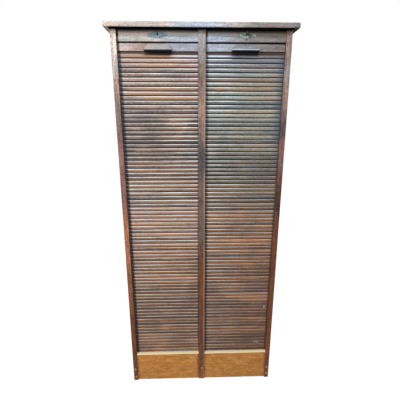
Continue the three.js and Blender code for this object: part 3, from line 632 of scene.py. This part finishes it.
# Metals: the base shows through the patina that has spread, and is bright where it is rubbed
metalLooks = dict(
    patina=dict(base=(0.085, 0.122, 0.136), spread=(0.19, 0.345, 0.41), bright=(0.40, 0.38, 0.27),
                metallic=0.30, roughness=0.50, size=180, aged=(0.36, 0.60)),
    handledPatina=dict(base=(0.42, 0.445, 0.35), spread=(0.11, 0.225, 0.29), bright=(0.80, 0.80, 0.66),
                       metallic=0.30, roughness=0.44, size=100, aged=(0.44, 0.56)),
    lockBrass=dict(base=(0.46, 0.33, 0.13), spread=(0.17, 0.10, 0.045), bright=(0.70, 0.55, 0.27),
                   metallic=0.95, roughness=0.34, size=150, aged=(0.48, 0.70)),
    lockSteel=dict(base=(0.06, 0.054, 0.05), spread=(0.095, 0.042, 0.022), bright=(0.42, 0.40, 0.38),
                   metallic=0.9, roughness=0.40, size=170, aged=(0.52, 0.72)),
    peg=dict(base=(0.84, 0.60, 0.38), spread=(0.40, 0.22, 0.11), bright=(0.95, 0.84, 0.66), metallic=0.20,
             roughness=0.36, size=300, aged=(0.56, 0.74)),
)


def metalMaterial(name, look):
    material, sheet = newMaterial(name, look)
    age = sheet.noise((look["size"],) * 3, 4, 0.65, 0.4, 1.0)
    specks = sheet.noise((look["size"] * 5,) * 3, 2, 0.6, 0, 2.0).step(0.60, 0.72)
    spread = age.step(*look["aged"])
    sheet.colour = sheet.mix(spread, "base", "spread")
    sheet.paint("base", specks * 0.35)
    rubbed = wornEdges(sheet, 0.0004) * age.step(0.62, 0.40)
    sheet.paint("bright", rubbed * 0.8)
    metallic = (look["metallic"] + rubbed * (1 - look["metallic"]) - spread * 0.25).clamped()
    roughness = look["roughness"] + spread * 0.22 - rubbed * 0.12
    finishMaterial(sheet, roughness, age + specks * 0.4, 0.25, 0.0002, metallic=metallic)
    return material


woods = {name: boardOakMaterial(name, look) for name, look in boardOak.items()}
rawWood = rawOakMaterial()
metals = {name: metalMaterial(name, look) for name, look in metalLooks.items()}
honeyOak = plinthOakMaterial()
slatWood = slatOakMaterial()
canvas = canvasMaterial()
shelfWood = plainWoodMaterial("shelfWood", "x", 31.0, 1.2)
backWood = plainWoodMaterial("backWood", "z", 44.0, 2.4, -0.03)
print("materials made")

cadFinish = {"side_board_left": woods["leftSide"], "side_board_right": woods["rightSide"],
             "centre_partition": woods["middle"]}
cadFinish.update({name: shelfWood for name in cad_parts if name.startswith("shelf_")})
for kind, material in dict(lock_rail=woods["lockRail"], lead_rail=woods["leadRail"], floor_board=shelfWood,
                           inner_back=backWood, back_panel=backWood, lock_case=metals["lockSteel"],
                           lock_bolt=metals["lockBrass"], strike_plate=metals["lockBrass"]).items():
    cadFinish.update({f"{kind}_{side}": material for side in sides})
for name, material in cadFinish.items():
    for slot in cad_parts[name].material_slots:
        slot.material = material


# Mesh helpers
def boxAndMiddle(node):
    low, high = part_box(node)
    return low, high, (low + high) / 2


def addPiece(name, mesh, body, materials, nodes=()):
    piece = linked(name, mesh)
    for i, material in enumerate(materials):
        if i < len(mesh.materials):
            mesh.materials[i] = material
        else:
            mesh.materials.append(material)
    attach(piece, body)
    if nodes:
        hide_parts(*nodes)
    return piece


# Faces that look down are left raw: they take the piece's second material
def rawUnderside(mesh):
    for face in mesh.polygons:
        if face.normal.z < -0.9:
            face.material_index = 1


def smooth(mesh, angle):
    mesh.shade_smooth()
    mesh.set_sharp_from_angle(angle=angle)
    return mesh


def meshOf(name, work, angle=0.6):
    mesh = bpy.data.meshes.new(name)
    bmesh.ops.recalc_face_normals(work, faces=work.faces)
    work.to_mesh(mesh)
    work.free()
    return smooth(mesh, angle)


# The plain mesh that a modifier makes of a mesh; its holder and the modifier are removed again
def madeBy(name, kind, settings, inputs, mesh, angle=0.7):
    holder = linked("holder", mesh)
    modifier = holder.modifiers.new("maker", kind)
    for key, value in settings.items():
        setattr(modifier, key, value)
    for identifier, value in inputs.items():
        modifier[identifier] = value
    bpy.context.view_layer.update()
    made = bpy.data.meshes.new_from_object(holder.evaluated_get(bpy.context.evaluated_depsgraph_get()))
    made.name = name
    bpy.data.objects.remove(holder)
    return smooth(made, angle)


def grownFrom(name, tree, sockets, values, mesh, angle=0.7):
    inputs = {sockets[title]: value for title, value in values.items()}
    return madeBy(name, "NODES", dict(node_group=tree), inputs, mesh, angle)


# A tree with named inputs: its sheet, the inputs' identifiers and the inputs as Terms
def newTree(name, wanted, result):
    tree = bpy.data.node_groups.new(name, "GeometryNodeTree")
    socket = tree.interface.new_socket
    sockets = {title: socket(title, in_out="INPUT", socket_type=f"NodeSocket{kind}").identifier
               for title, kind in wanted.items()}
    socket(result, in_out="OUTPUT", socket_type="NodeSocketGeometry")
    sheet, asked = Sheet(tree), tree.nodes.new("NodeGroupInput")
    return sheet, sockets, {title: Term(sheet, asked.outputs[title]) for title in wanted}


def joinInto(work, other):
    scratch = bpy.data.meshes.new("scratch")
    other.to_mesh(scratch)
    other.free()
    work.from_mesh(scratch)
    bpy.data.meshes.remove(scratch)


# Faces between rings of as many points each
def bridge(work, rings, around=False):
    for i in range(len(rings) if around else len(rings) - 1):
        a, b = rings[i], rings[(i + 1) % len(rings)]
        for j in range(len(a)):
            k = (j + 1) % len(a)
            work.faces.new((a[j], a[k], b[k], b[j]))
    if not around:
        work.faces.new(rings[0][::-1])
        work.faces.new(rings[-1])


# A path row is a place and the two directions that the section is drawn along
def sweep(path, section, closed=True):
    work = bmesh.new()
    bridge(work, [[work.verts.new(Vector(place) + Vector(one) * u + Vector(two) * v) for u, v in section]
                  for place, one, two in path], closed)
    return work


def circle(radius, steps):
    angles = [math.tau * i / steps for i in range(steps)]
    return [(radius * math.cos(angle), radius * math.sin(angle)) for angle in angles]


# Curtains: slats instanced down a line over a canvas, one mesh for each length of curtain
def slatForm(halfLength):
    look = curtainLook
    rim = [(look["thickness"], -1.0)]
    for i in range(look["crownSteps"] + 1):
        angle = math.pi * i / look["crownSteps"] - math.pi / 2
        rise = math.copysign(abs(math.sin(angle)) ** (2 / look["crownPower"]), math.sin(angle))
        bulge = abs(math.cos(angle)) ** (2 / look["crownPower"])
        rim.append((look["crown"] * (1 - bulge), rise))
    rim.append((look["thickness"], 1.0))
    work = bmesh.new()
    across = work.verts.layers.float.new("across")
    ends = [[work.verts.new((x, depth, rise * look["slatHeight"] / 2)) for depth, rise in rim]
            for x in (-halfLength, halfLength)]
    for ring in ends:
        for vert, (depth, rise) in zip(ring, rim):
            vert[across] = rise
    bridge(work, ends)
    return linked("slatForm", meshOf("slatForm", work, 0.9))


def curtainTree():
    sheet, sockets, given = newTree("slatsOnCanvas", {
        "Slat": "Object", "Count": "Int", "Pitch": "Float", "Top": "Vector", "Seed": "Int", "Tilt": "Float",
        "Shift": "Float", "Canvas Size": "Vector", "Canvas Middle": "Vector"}, "Curtain")
    drop = sheet.add("ShaderNodeCombineXYZ", {2: given["Pitch"] * -1})
    values = {"Count": given["Count"], "Start Location": given["Top"], "Offset": drop}
    line = sheet.add("GeometryNodeMeshLine", values, mode="OFFSET")
    slat = sheet.add("GeometryNodeObjectInfo", {"Object": given["Slat"]}, 4)
    lean = sheet.chance(given["Tilt"] * -1, given["Tilt"], given["Seed"])
    turn = sheet.add("ShaderNodeCombineXYZ", {0: lean})
    placed = sheet.add("GeometryNodeInstanceOnPoints", {"Points": line, "Instance": slat, "Rotation": turn})
    slip = sheet.add("ShaderNodeCombineXYZ", {1: sheet.chance(0.0, given["Shift"], given["Seed"] + 7)})
    moved = sheet.add("GeometryNodeTranslateInstances", {"Instances": placed, "Translation": slip})
    values = {"Geometry": moved, "Name": "slatTone", "Value": sheet.chance(0.0, 1.0, given["Seed"] + 13)}
    toned = sheet.add("GeometryNodeStoreNamedAttribute", values, data_type="FLOAT", domain="INSTANCE")
    solid = sheet.add("GeometryNodeRealizeInstances", {0: toned})
    slats = sheet.add("GeometryNodeSetMaterial", {"Geometry": solid, "Material": slatWood})
    cloth = sheet.add("GeometryNodeMeshCube", {"Size": given["Canvas Size"]})
    hung = sheet.add("GeometryNodeSetPosition", {"Geometry": cloth, "Offset": given["Canvas Middle"]})
    backed = sheet.add("GeometryNodeSetMaterial", {"Geometry": hung, "Material": canvas})
    both = sheet.add("GeometryNodeJoinGeometry", {0: backed})
    sheet.tree.links.new(slats.socket, both.socket.node.inputs[0])
    sheet.add("NodeGroupOutput", {0: both})
    return sheet.tree, sockets


def makeCurtains():
    look = curtainLook
    low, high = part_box("curtain_left_01")
    form = slatForm((high.x - low.x) / 2)
    tree, sockets = curtainTree()
    pitch = look["pitch"]
    for side in sides:
        names = sorted(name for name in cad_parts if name.startswith(f"curtain_{side}_"))
        for number, name in enumerate(names, 1):
            low, high, middle = boxAndMiddle(name)
            count = round((high.z - low.z) / pitch)
            top, long = high.z + (pitch - look["slatHeight"]) / 2, count * pitch
            values = {"Slat": form, "Count": count, "Pitch": pitch,
                      "Tilt": look["tilt"], "Shift": look["shift"],
                      "Top": (middle.x, curtainFace, top - pitch / 2),
                      "Seed": look["seed"] + 31 * number + (500 if side == "right" else 0),
                      "Canvas Size": (high.x - low.x - 2 * look["canvasMargin"], look["canvasThickness"],
                                      long - look["canvasSlack"]),
                      "Canvas Middle": (middle.x, high.y - look["canvasThickness"] / 2, top - long / 2)}
            title = f"slats_{side}_{number:02d}"
            mesh = grownFrom(title, tree, sockets, values, bpy.data.meshes.new("holder"), 0.9)
            body = f"curtain_{side}" if number == 1 else f"curtain_{side}_panel_{number:02d}"
            addPiece(title, mesh, body, [], [name])
    bpy.data.objects.remove(form)


makeCurtains()
print("curtains made")

# Boards with softened edges
topLook = dict(cornerRadius=0.008, edgeRadius=0.0042, cornerSteps=5, edgeSteps=4)
plinthLook = dict(edgeRadius=0.0022, steps=4, cuts=48, waver=0.00035, waverReach=0.01, waves=(61, 23))


def boxWork(low, high):
    work = bmesh.new()
    bmesh.ops.create_cube(work, size=1.0)
    middle, size = (low + high) / 2, high - low
    for vert in work.verts:
        vert.co = Vector(middle[i] + vert.co[i] * size[i] for i in range(3))
    return work


def roundEdges(work, edges, radius, steps):
    bmesh.ops.bevel(work, geom=edges, offset=radius, segments=steps, profile=0.5, affect="EDGES",
                    clamp_overlap=True)


def makeTopBoard():
    look = topLook
    work = boxWork(*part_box("top_board"))
    upright = [edge for edge in work.edges if edge.verts[0].co.xy == edge.verts[1].co.xy]
    roundEdges(work, upright, look["cornerRadius"], look["cornerSteps"])
    rims = [edge for edge in work.edges if abs(edge.verts[0].co.z - edge.verts[1].co.z) < 1e-6
            and len(edge.link_faces) == 2 and any(abs(face.normal.z) > 0.9 for face in edge.link_faces)]
    roundEdges(work, rims, look["edgeRadius"], look["edgeSteps"])
    mesh = meshOf("topBoard", work)
    rawUnderside(mesh)
    addPiece("topBoard", mesh, "case", [woods["top"], rawWood], ["top_board"])


# The plinths have a slightly wavering top edge
def makePlinths():
    look = plinthLook
    r, (short, long) = look["edgeRadius"], look["waves"]
    for side, phase in (("left", 3.0), ("right", 8.0)):
        low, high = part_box(f"plinth_{side}")
        section = []
        front, rear, foot, top = low.y + r, high.y - r, low.z + r, high.z - r
        for quarter, (y, z) in enumerate(((rear, top), (front, top), (front, foot), (rear, foot))):
            for i in range(look["steps"] + 1):
                angle = math.pi / 2 * (quarter + i / look["steps"])
                section.append((y + r * math.cos(angle), z + r * math.sin(angle)))
        path = [((low.x + (high.x - low.x) * i / look["cuts"], 0, 0), (0, 1, 0), (0, 0, 1))
                for i in range(look["cuts"] + 1)]
        work = sweep(path, section, closed=False)
        for vert in work.verts:
            edge = max(0.0, 1 - abs(high.z - vert.co.z) / look["waverReach"])
            dip = math.sin(vert.co.x * short + phase) * math.sin(vert.co.x * long + 2 * phase)
            vert.co.z -= look["waver"] * edge * (1 + dip)
        addPiece(f"plinthBoard_{side}", meshOf("plinthBoard", work), "case", [honeyOak],
                 [f"plinth_{side}"])


makeTopBoard()
makePlinths()

# Pulls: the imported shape, merged and softened
pullLook = dict(radius=0.0013, steps=3, angle=0.4)


def softCopy(node, name, look):
    work = bmesh.new()
    work.from_mesh(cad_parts[node].data)
    bmesh.ops.remove_doubles(work, verts=work.verts, dist=2e-6)
    bmesh.ops.dissolve_limit(work, angle_limit=0.01, verts=work.verts, edges=work.edges)
    settings = dict(width=look["radius"], segments=look["steps"], use_clamp_overlap=True,
                    limit_method="ANGLE", angle_limit=look["angle"])
    return madeBy(name, "BEVEL", settings, {}, meshOf(name, work))


for side in sides:
    mesh = softCopy(f"pull_{side}", "pullBlock", pullLook)
    rawUnderside(mesh)
    addPiece(f"pullBlock_{side}", mesh, f"curtain_{side}", [woods["pull"], rawWood],
             [f"pull_{side}"])
print("boards and pulls made")


# Round and repeated small forms
def turned(work, rows, x, z, steps=28):
    bridge(work, [[work.verts.new((x + out, y, z + up)) for up, out in circle(r, steps)] for y, r in rows])


def domeForm(name, rows, steps, slot=None):
    work = bmesh.new()
    turned(work, rows, 0, 0, steps)
    if slot:
        width, depth, reach = slot
        top = min(y for y, r in rows)
        for vert in work.verts:
            if abs(vert.co.x) < width and vert.co.y < top + depth and vert.co.xz.length < reach:
                vert.co.y = top + depth
    return linked(name, meshOf(name, work, 0.7))


def scatterTree(name, followPath):
    sheet, sockets, given = newTree(name, dict(Points="Geometry", Form="Object", Count="Int", Size="Float",
                                               Facing="Float", Seed="Int", Finish="Material"), "Placed")
    points = given["Points"]
    if followPath:
        curve = sheet.add("GeometryNodeMeshToCurve", {"Mesh": points})
        points = sheet.add("GeometryNodeResampleCurve", {"Curve": curve, "Count": given["Count"]})
    form = sheet.add("GeometryNodeObjectInfo", {"Object": given["Form"]}, 4)
    spin = sheet.chance(0.0, math.tau, given["Seed"])
    turn = sheet.add("ShaderNodeCombineXYZ", {1: spin, 2: given["Facing"]})
    placed = sheet.add("GeometryNodeInstanceOnPoints",
                       {"Points": points, "Instance": form, "Rotation": turn, "Scale": given["Size"]})
    solid = sheet.add("GeometryNodeRealizeInstances", {0: placed})
    done = sheet.add("GeometryNodeSetMaterial", {"Geometry": solid, "Material": given["Finish"]})
    sheet.add("NodeGroupOutput", {0: done})
    return sheet.tree, sockets


def scatter(name, treeAndSockets, places, form, finish, loop=False, **values):
    tree, sockets = treeAndSockets
    mesh = bpy.data.meshes.new("places")
    mesh.from_pydata(places, [(i, (i + 1) % len(places)) for i in range(len(places))] if loop else [], [])
    values = dict(Form=form, Finish=finish, Size=1.0, Facing=0.0, Seed=3, Count=1) | values
    return grownFrom(name, tree, sockets, values, mesh)


atPoints = scatterTree("formsAtPoints", False)
alongPath = scatterTree("formsAlongPath", True)

# Screws at the feet of the stiles, and in the back panels
footScrewLook = dict(
    radius=0.003, dome=0.0008, seed=4,
    places=[(-0.339, 0.067), (-0.339, 0.022), (0.001, 0.0665), (0.339, 0.064), (0.339, 0.024)],
    plinthPlaces=[(-0.2845, 0.016)],
)
backScrewLook = dict(radius=0.0034, dome=0.0009, spacing=0.228, fromEdge=0.007, fromTop=0.022, seed=9)
# Rows of the head as shares of its dome and radius, and its slot as shares of the same
screwRows = [(-0.45, 0.90), (-0.82, 0.66), (-0.95, 0.40), (-1.0, 0.18)]
screwSlot = dict(width=0.2, depth=0.7, reach=0.92, root=0.0003)


def screwForm(name, look):
    r, dome = look["radius"], look["dome"]
    rows = [(screwSlot["root"], r), (0.0, r)] + [(dome * up, r * share) for up, share in screwRows]
    slot = (r * screwSlot["width"], dome * screwSlot["depth"], r * screwSlot["reach"])
    return domeForm(name, rows, 16, slot)


def makeScrews():
    look = footScrewLook
    form = screwForm("footScrew", look)
    faces = [(x, stileFace, z) for x, z in look["places"]]
    faces += [(x, plinthFace, z) for x, z in look["plinthPlaces"]]
    mesh = scatter("footScrews", atPoints, faces, form, metals["peg"], Seed=look["seed"])
    addPiece("footScrews", mesh, "case", [metals["peg"]])
    bpy.data.objects.remove(form)
    look = backScrewLook
    form = screwForm("backScrew", look)
    for side in sides:
        low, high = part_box(f"back_panel_{side}")
        foot, tall = low.z + look["fromTop"], high.z - low.z - 2 * look["fromTop"]
        rows = round(tall / look["spacing"])
        places = [(x, cabinetBack, foot + tall * i / rows)
                  for x in (low.x + look["fromEdge"], high.x - look["fromEdge"]) for i in range(rows + 1)]
        mesh = scatter(f"backScrews_{side}", atPoints, places, form, metals["lockSteel"], Facing=math.pi,
                       Seed=look["seed"])
        addPiece(f"backScrews_{side}", mesh, "case", [metals["lockSteel"]])
    bpy.data.objects.remove(form)


makeScrews()

# Escutcheons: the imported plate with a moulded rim, pearls, rosettes, a keyhole collar and two nails. The
# rows of the small turned forms are (height above the plate's face, share of the radius) from root to tip
escutcheonLook = dict(
    keyholeBelowTop=0.0076, soften=dict(radius=0.0003, steps=2, angle=0.4),
    rimInset=0.0014, rimRadius=0.00062, pearlInset=0.0032, pearlCount=54, pearlRadius=0.00052, proud=0.0001,
    collarSteps=36, collarRadius=0.0048, collarWire=0.0006, collarRise=0.96, collarDrop=0.007,
    collarStretch=1.15,
    rosettePlace=(0.0205, 0.0004), rosetteRadius=0.0024, petals=7, nailPlace=(0.0318, -0.0003),
    petal=dict(radius=0.00105, steps=10, rows=[(-0.0003, 1), (0.0001, 0.95), (0.0004, 0.6), (0.0005, 0.2)]),
    boss=dict(radius=0.0012075, steps=12, rows=[(-0.0003, 1), (0.0004, 0.9), (0.0008, 0.5), (0.0009, 0.15)]),
    nail=dict(radius=0.0015, steps=16,
              rows=[(-0.0002, 1), (0.0001, 1), (0.00054, 0.84), (0.000837, 0.5), (0.0009, 0.15)]),
)
# The plate's right edge from its top peak to its bottom point: (end, bend) as shares of half its size
escutcheonEdge = [((0.34, 0.8), (0.16, 0.8)), ((0.62, 0.6), (0.54, 0.8)), ((0.74, 0.42), (0.64, 0.42)),
                  ((1, 0), (1, 0.44)), ((0.76, -0.4), (1, -0.42)), ((0.46, -0.58), (0.58, -0.4)),
                  ((0, -1), (0.2, -0.8))]


def escutcheonOutline(halfWidth, halfHeight, inset):
    right = [Vector((0, 1))]
    for end, bend in escutcheonEdge:
        start = right[-1].copy()
        for i in range(1, 9):
            t = i / 8
            right.append(start * (1 - t) ** 2 + Vector(bend) * 2 * t * (1 - t) + Vector(end) * t * t)
    around = right + [Vector((-p.x, p.y)) for p in right[-2:0:-1]]
    around = [Vector((p.x * halfWidth, p.y * halfHeight)) for p in around]
    inside = []
    for i, p in enumerate(around):
        way = (around[(i + 1) % len(around)] - around[i - 1]).normalized()
        inside.append(p + Vector((way.y, -way.x)) * inset)
    return inside


def tubeAlong(points, radius, y, steps=8, flat=0.8):
    path = []
    for i, p in enumerate(points):
        way = (points[(i + 1) % len(points)] - points[i - 1]).normalized()
        path.append(((p.x, y, p.y), (-way.y, 0, way.x), (0, flat, 0)))
    return sweep(path, circle(radius, steps))


def stud(work, form, x, face, z):
    turned(work, [(face - up, form["radius"] * share) for up, share in form["rows"]], x, z, form["steps"])


def makeEscutcheons():
    look = escutcheonLook
    pearl = domeForm("pearl", [(0.0003, 1.0), (-0.4, 0.92), (-0.75, 0.62), (-0.95, 0.25)], 8)
    for side in sides:
        low, high, (x, _, middle) = boxAndMiddle(f"escutcheon_{side}")
        finish = metals["patina" if side == "left" else "handledPatina"]
        face, proud, holeZ = low.y, low.y + look["proud"], high.z - look["keyholeBelowTop"]
        half = (high.x - low.x) / 2, (high.z - low.z) / 2
        work = bmesh.new()
        work.from_mesh(softCopy(f"escutcheon_{side}", "plate", look["soften"]))
        rim = [p + Vector((x, middle)) for p in escutcheonOutline(*half, look["rimInset"])]
        joinInto(work, tubeAlong(rim, look["rimRadius"], proud))
        collar = []
        for i in range(look["collarSteps"]):
            s, c = math.sin(math.tau * i / look["collarSteps"]), math.cos(math.tau * i / look["collarSteps"])
            reach = look["collarDrop"] if c < 0 else look["collarRadius"] * look["collarRise"]
            collar.append(Vector((x + look["collarRadius"] * s, holeZ + reach * look["collarStretch"] * c)))
        joinInto(work, tubeAlong(collar, look["collarWire"], proud))
        for way in (-1, 1):
            rx, rz = x + way * look["rosettePlace"][0], middle + look["rosettePlace"][1]
            for up, out in circle(look["rosetteRadius"], look["petals"]):
                stud(work, look["petal"], rx + out, face, rz + up)
            stud(work, look["boss"], rx, face, rz)
            stud(work, look["nail"], x + way * look["nailPlace"][0], face, middle + look["nailPlace"][1])
        addPiece(f"escutcheonPlate_{side}", meshOf("escutcheonPlate", work, 0.7), "case",
                 [finish], [f"escutcheon_{side}"])
        loop = [(p.x + x, proud, p.y + middle) for p in escutcheonOutline(*half, look["pearlInset"])]
        mesh = scatter(f"escutcheonPearls_{side}", alongPath, loop, pearl, finish, True,
                       Count=look["pearlCount"], Size=look["pearlRadius"])
        addPiece(f"escutcheonPearls_{side}", mesh, "case", [finish])
    bpy.data.objects.remove(pearl)


makeEscutcheons()

# Key in the right lock, the split ring on its bow and the spare key on the ring. A row of the key's moulding
# is (place from its start, what it is a share of, share)
keyLook = dict(
    bowHalf=(0.008, 0.009), eyeHalf=(0.0044, 0.0045), thickness=0.0022, barrel=0.0031, collar=0.0042,
    moulding=[(-0.0018, "barrel", 0.8), (0.0, "barrel", 1.0), (0.0001, "collar", 0.93),
              (0.0006, "collar", 1.0), (0.0012, "collar", 0.93), (0.0014, "barrel", 1.04),
              (0.0018, "collar", 0.9), (0.0023, "collar", 0.97), (0.003, "collar", 0.9),
              (0.0031, "barrel", 1.0)],
    bitLength=0.007, bitReach=0.008, bitThickness=0.002, bitFromTip=0.0003, bitEdge=0.0003, tipEdge=0.0004,
    pinHole=0.0012, pinDepth=0.008,
)
ringLook = dict(turns=2, wire=0.00036, pitch=0.00074, stepsPerTurn=36)
# The steps of the spare key's bit are shares of its size: reach, start and end
spareLook = dict(bow=0.0055, eye=0.0026, thickness=0.0018, shank=0.0026, intoBow=0.0012, shankEdge=0.0004,
                 bitReach=0.005, bitLength=0.005, bitEdge=0.0002, bitThinness=0.8,
                 bitSteps=[(1, 0.02, 0.42), (0.86, 0.62, 1)])


def bowSweep(middle, outer, eye, thickness, steps=40):
    path = []
    for i in range(steps):
        c, s = math.cos(math.tau * i / steps), math.sin(math.tau * i / steps)
        around = Vector((0, c * (outer[0] + eye[0]) / 2, s * (outer[1] + eye[1]) / 2))
        out = Vector((0, c * (outer[0] - eye[0]) / 2, s * (outer[1] - eye[1]) / 2))
        path.append((Vector(middle) + around, out, Vector((thickness / 2, 0, 0))))
    return sweep(path, [tuple(math.copysign(abs(w) ** 0.75, w) for w in corner) for corner in circle(1, 12)])


def softBlock(low, high, radius, steps=2):
    work = boxWork(Vector(low), Vector(high))
    roundEdges(work, work.edges[:], radius, steps)
    return work


def makeKey():
    look = keyLook
    low, high, (x, _, z) = boxAndMiddle("key")
    bowY, tip, barrel = low.y + look["bowHalf"][0], high.y, look["barrel"]
    work = bmesh.new()
    joinInto(work, bowSweep((x, bowY, z), look["bowHalf"], look["eyeHalf"], look["thickness"]))
    start = bowY + look["bowHalf"][0]
    rows = [(start + along, look[of] * share) for along, of, share in look["moulding"]]
    rows += [(tip - look["tipEdge"], barrel), (tip, barrel - look["tipEdge"]), (tip, look["pinHole"]),
             (tip - look["pinDepth"], look["pinHole"])]
    turned(work, rows, x, z)
    half, bitEnd = look["bitThickness"] / 2, tip - look["bitFromTip"]
    joinInto(work, softBlock((x - half, bitEnd - look["bitLength"], z - look["bitReach"]),
                             (x + half, bitEnd, z - barrel * 0.7), look["bitEdge"]))
    addPiece("keyInLock", meshOf("keyInLock", work), "key", [metals["lockSteel"]], ["key"])


def makeRing():
    look = ringLook
    low, high, middle = boxAndMiddle("split_ring")
    radius = (high.x - low.x) / 2 - (high.y - low.y) / 2
    count = look["turns"] * look["stepsPerTurn"]
    path = []
    for i in range(count + 1):
        angle = math.tau * i / look["stepsPerTurn"]
        shift = Vector((0, look["pitch"] * (i / count - 0.5), 0))
        out = Vector((math.sin(angle), 0, math.cos(angle)))
        thin = min(1.0, 0.55 + min(i, count - i) * 0.15)  # the wire's ends are rounded off
        path.append((middle + out * radius + shift, out * thin, Vector((0, thin, 0))))
    mesh = meshOf("splitRing", sweep(path, circle(look["wire"], 8), closed=False), 1.2)
    addPiece("splitRing", mesh, "ring", [metals["lockSteel"]], ["split_ring"])


def makeSpareKey():
    look = spareLook
    low, high, middle = boxAndMiddle("spare_key")
    bow, shank, half, foot = look["bow"], look["shank"] / 2, look["thickness"] / 2, low.z
    x, y, bowZ = middle.x, low.y + bow, high.z - bow
    work = bmesh.new()
    joinInto(work, bowSweep((x, y, bowZ), (bow, bow), (look["eye"],) * 2, look["thickness"], 32))
    joinInto(work, softBlock((x - half, y - shank, foot),
                             (x + half, y + shank, bowZ - bow + look["intoBow"]), look["shankEdge"]))
    thin = half * look["bitThinness"]
    for reach, start, end in look["bitSteps"]:
        rear = y + look["bitReach"] * reach
        joinInto(work, softBlock((x - thin, y, foot + look["bitLength"] * start),
                                 (x + thin, rear, foot + look["bitLength"] * end), look["bitEdge"]))
    mesh = meshOf("spareKey", work)
    addPiece("spareKey", mesh, "spare_key", [metals["lockSteel"]], ["spare_key"])


makeKey()
makeRing()
makeSpareKey()
print("screws, escutcheons and keys made")

# Surroundings: white where they are looked at, and otherwise a grey floor and a faint fill beside the lamps
studio = dict(
    fill=0.15, fillColour=(0.93, 0.96, 1.0), floorSize=12, floorGrey=0.22, floorGlow=(0.86, 1.0),
    floorFade=(0.9, 2.4),
    lamps=[
        dict(name="windowLeft", place=(-1.7, -2.6, 2.2), aim=(0, 0, 1.1), size=(0.7, 0.8), power=72,
             colour=(1.0, 0.95, 0.90)),
        dict(name="besideRight", place=(2.5, 0.7, 1.8), aim=(0.3, 0.1, 0.9), size=(0.9, 0.9), power=34,
             colour=(1.0, 1.0, 1.0)),
        dict(name="behindLeft", place=(-1.3, 2.5, 1.9), aim=(0, 0.2, 0.9), size=(0.9, 0.9), power=52,
             colour=(1.0, 0.98, 0.95)),
        dict(name="skyAbove", place=(0.10, -2.1, 2.8), aim=(0, 0, 1.0), size=(0.6, 0.4), power=46,
             colour=(0.80, 0.90, 1.0)),
    ],
)


# One where the background is looked at, straight, in a mirror or through glass
def lookedAt(sheet):
    straight, mirrored, through = (sheet.add("ShaderNodeLightPath", output=f"Is {kind} Ray")
                                   for kind in ("Camera", "Glossy", "Transmission"))
    return straight.orMore(mirrored).orMore(through)


def makeStage():
    material, sheet = newMaterial("whiteFloor")
    away = ((sheet.x ** 2 + sheet.y ** 2) ** 0.5).step(*studio["floorFade"])
    plain = sheet.add("ShaderNodeBsdfDiffuse", {"Color": (*[studio["floorGrey"]] * 3, 1)})
    near, far = (sheet.add("ShaderNodeEmission", {"Color": (1, 1, 1, 1), "Strength": glow})
                 for glow in studio["floorGlow"])
    lit = sheet.add("ShaderNodeMixShader", {0: away, 1: near, 2: far})
    both = sheet.add("ShaderNodeAddShader", {0: plain, 1: lit})
    shown = sheet.add("ShaderNodeMixShader", {0: lookedAt(sheet), 1: plain, 2: both})
    sheet.add("ShaderNodeOutputMaterial", {"Surface": shown})
    work = bmesh.new()
    bmesh.ops.create_grid(work, x_segments=1, y_segments=1, size=studio["floorSize"])
    floor = linked("whiteFloor", meshOf("whiteFloor", work))
    floor.data.materials.append(material)


def makeWorld():
    world = bpy.data.worlds.new("studio")
    bpy.context.scene.world = world
    world.use_nodes = True
    world.node_tree.nodes.clear()
    sheet = Sheet(world.node_tree)
    white = sheet.add("ShaderNodeBackground", {"Color": (1, 1, 1, 1), "Strength": 1.0})
    values = {"Color": (*studio["fillColour"], 1), "Strength": studio["fill"]}
    soft = sheet.add("ShaderNodeBackground", values)
    shown = sheet.add("ShaderNodeMixShader", {0: lookedAt(sheet), 1: soft, 2: white})
    sheet.add("ShaderNodeOutputWorld", {"Surface": shown})


def makeLamps():
    for look in studio["lamps"]:
        data = bpy.data.lights.new(look["name"], "AREA")
        data.shape, data.energy, data.color = "RECTANGLE", look["power"], look["colour"]
        data.size, data.size_y = look["size"]
        aimed(look["name"], data, look["place"], Vector(look["aim"]) - Vector(look["place"]))


makeStage()
makeWorld()
makeLamps()
bpy.context.scene.view_settings.view_transform = "Standard"
print("stage, world and lamps made")
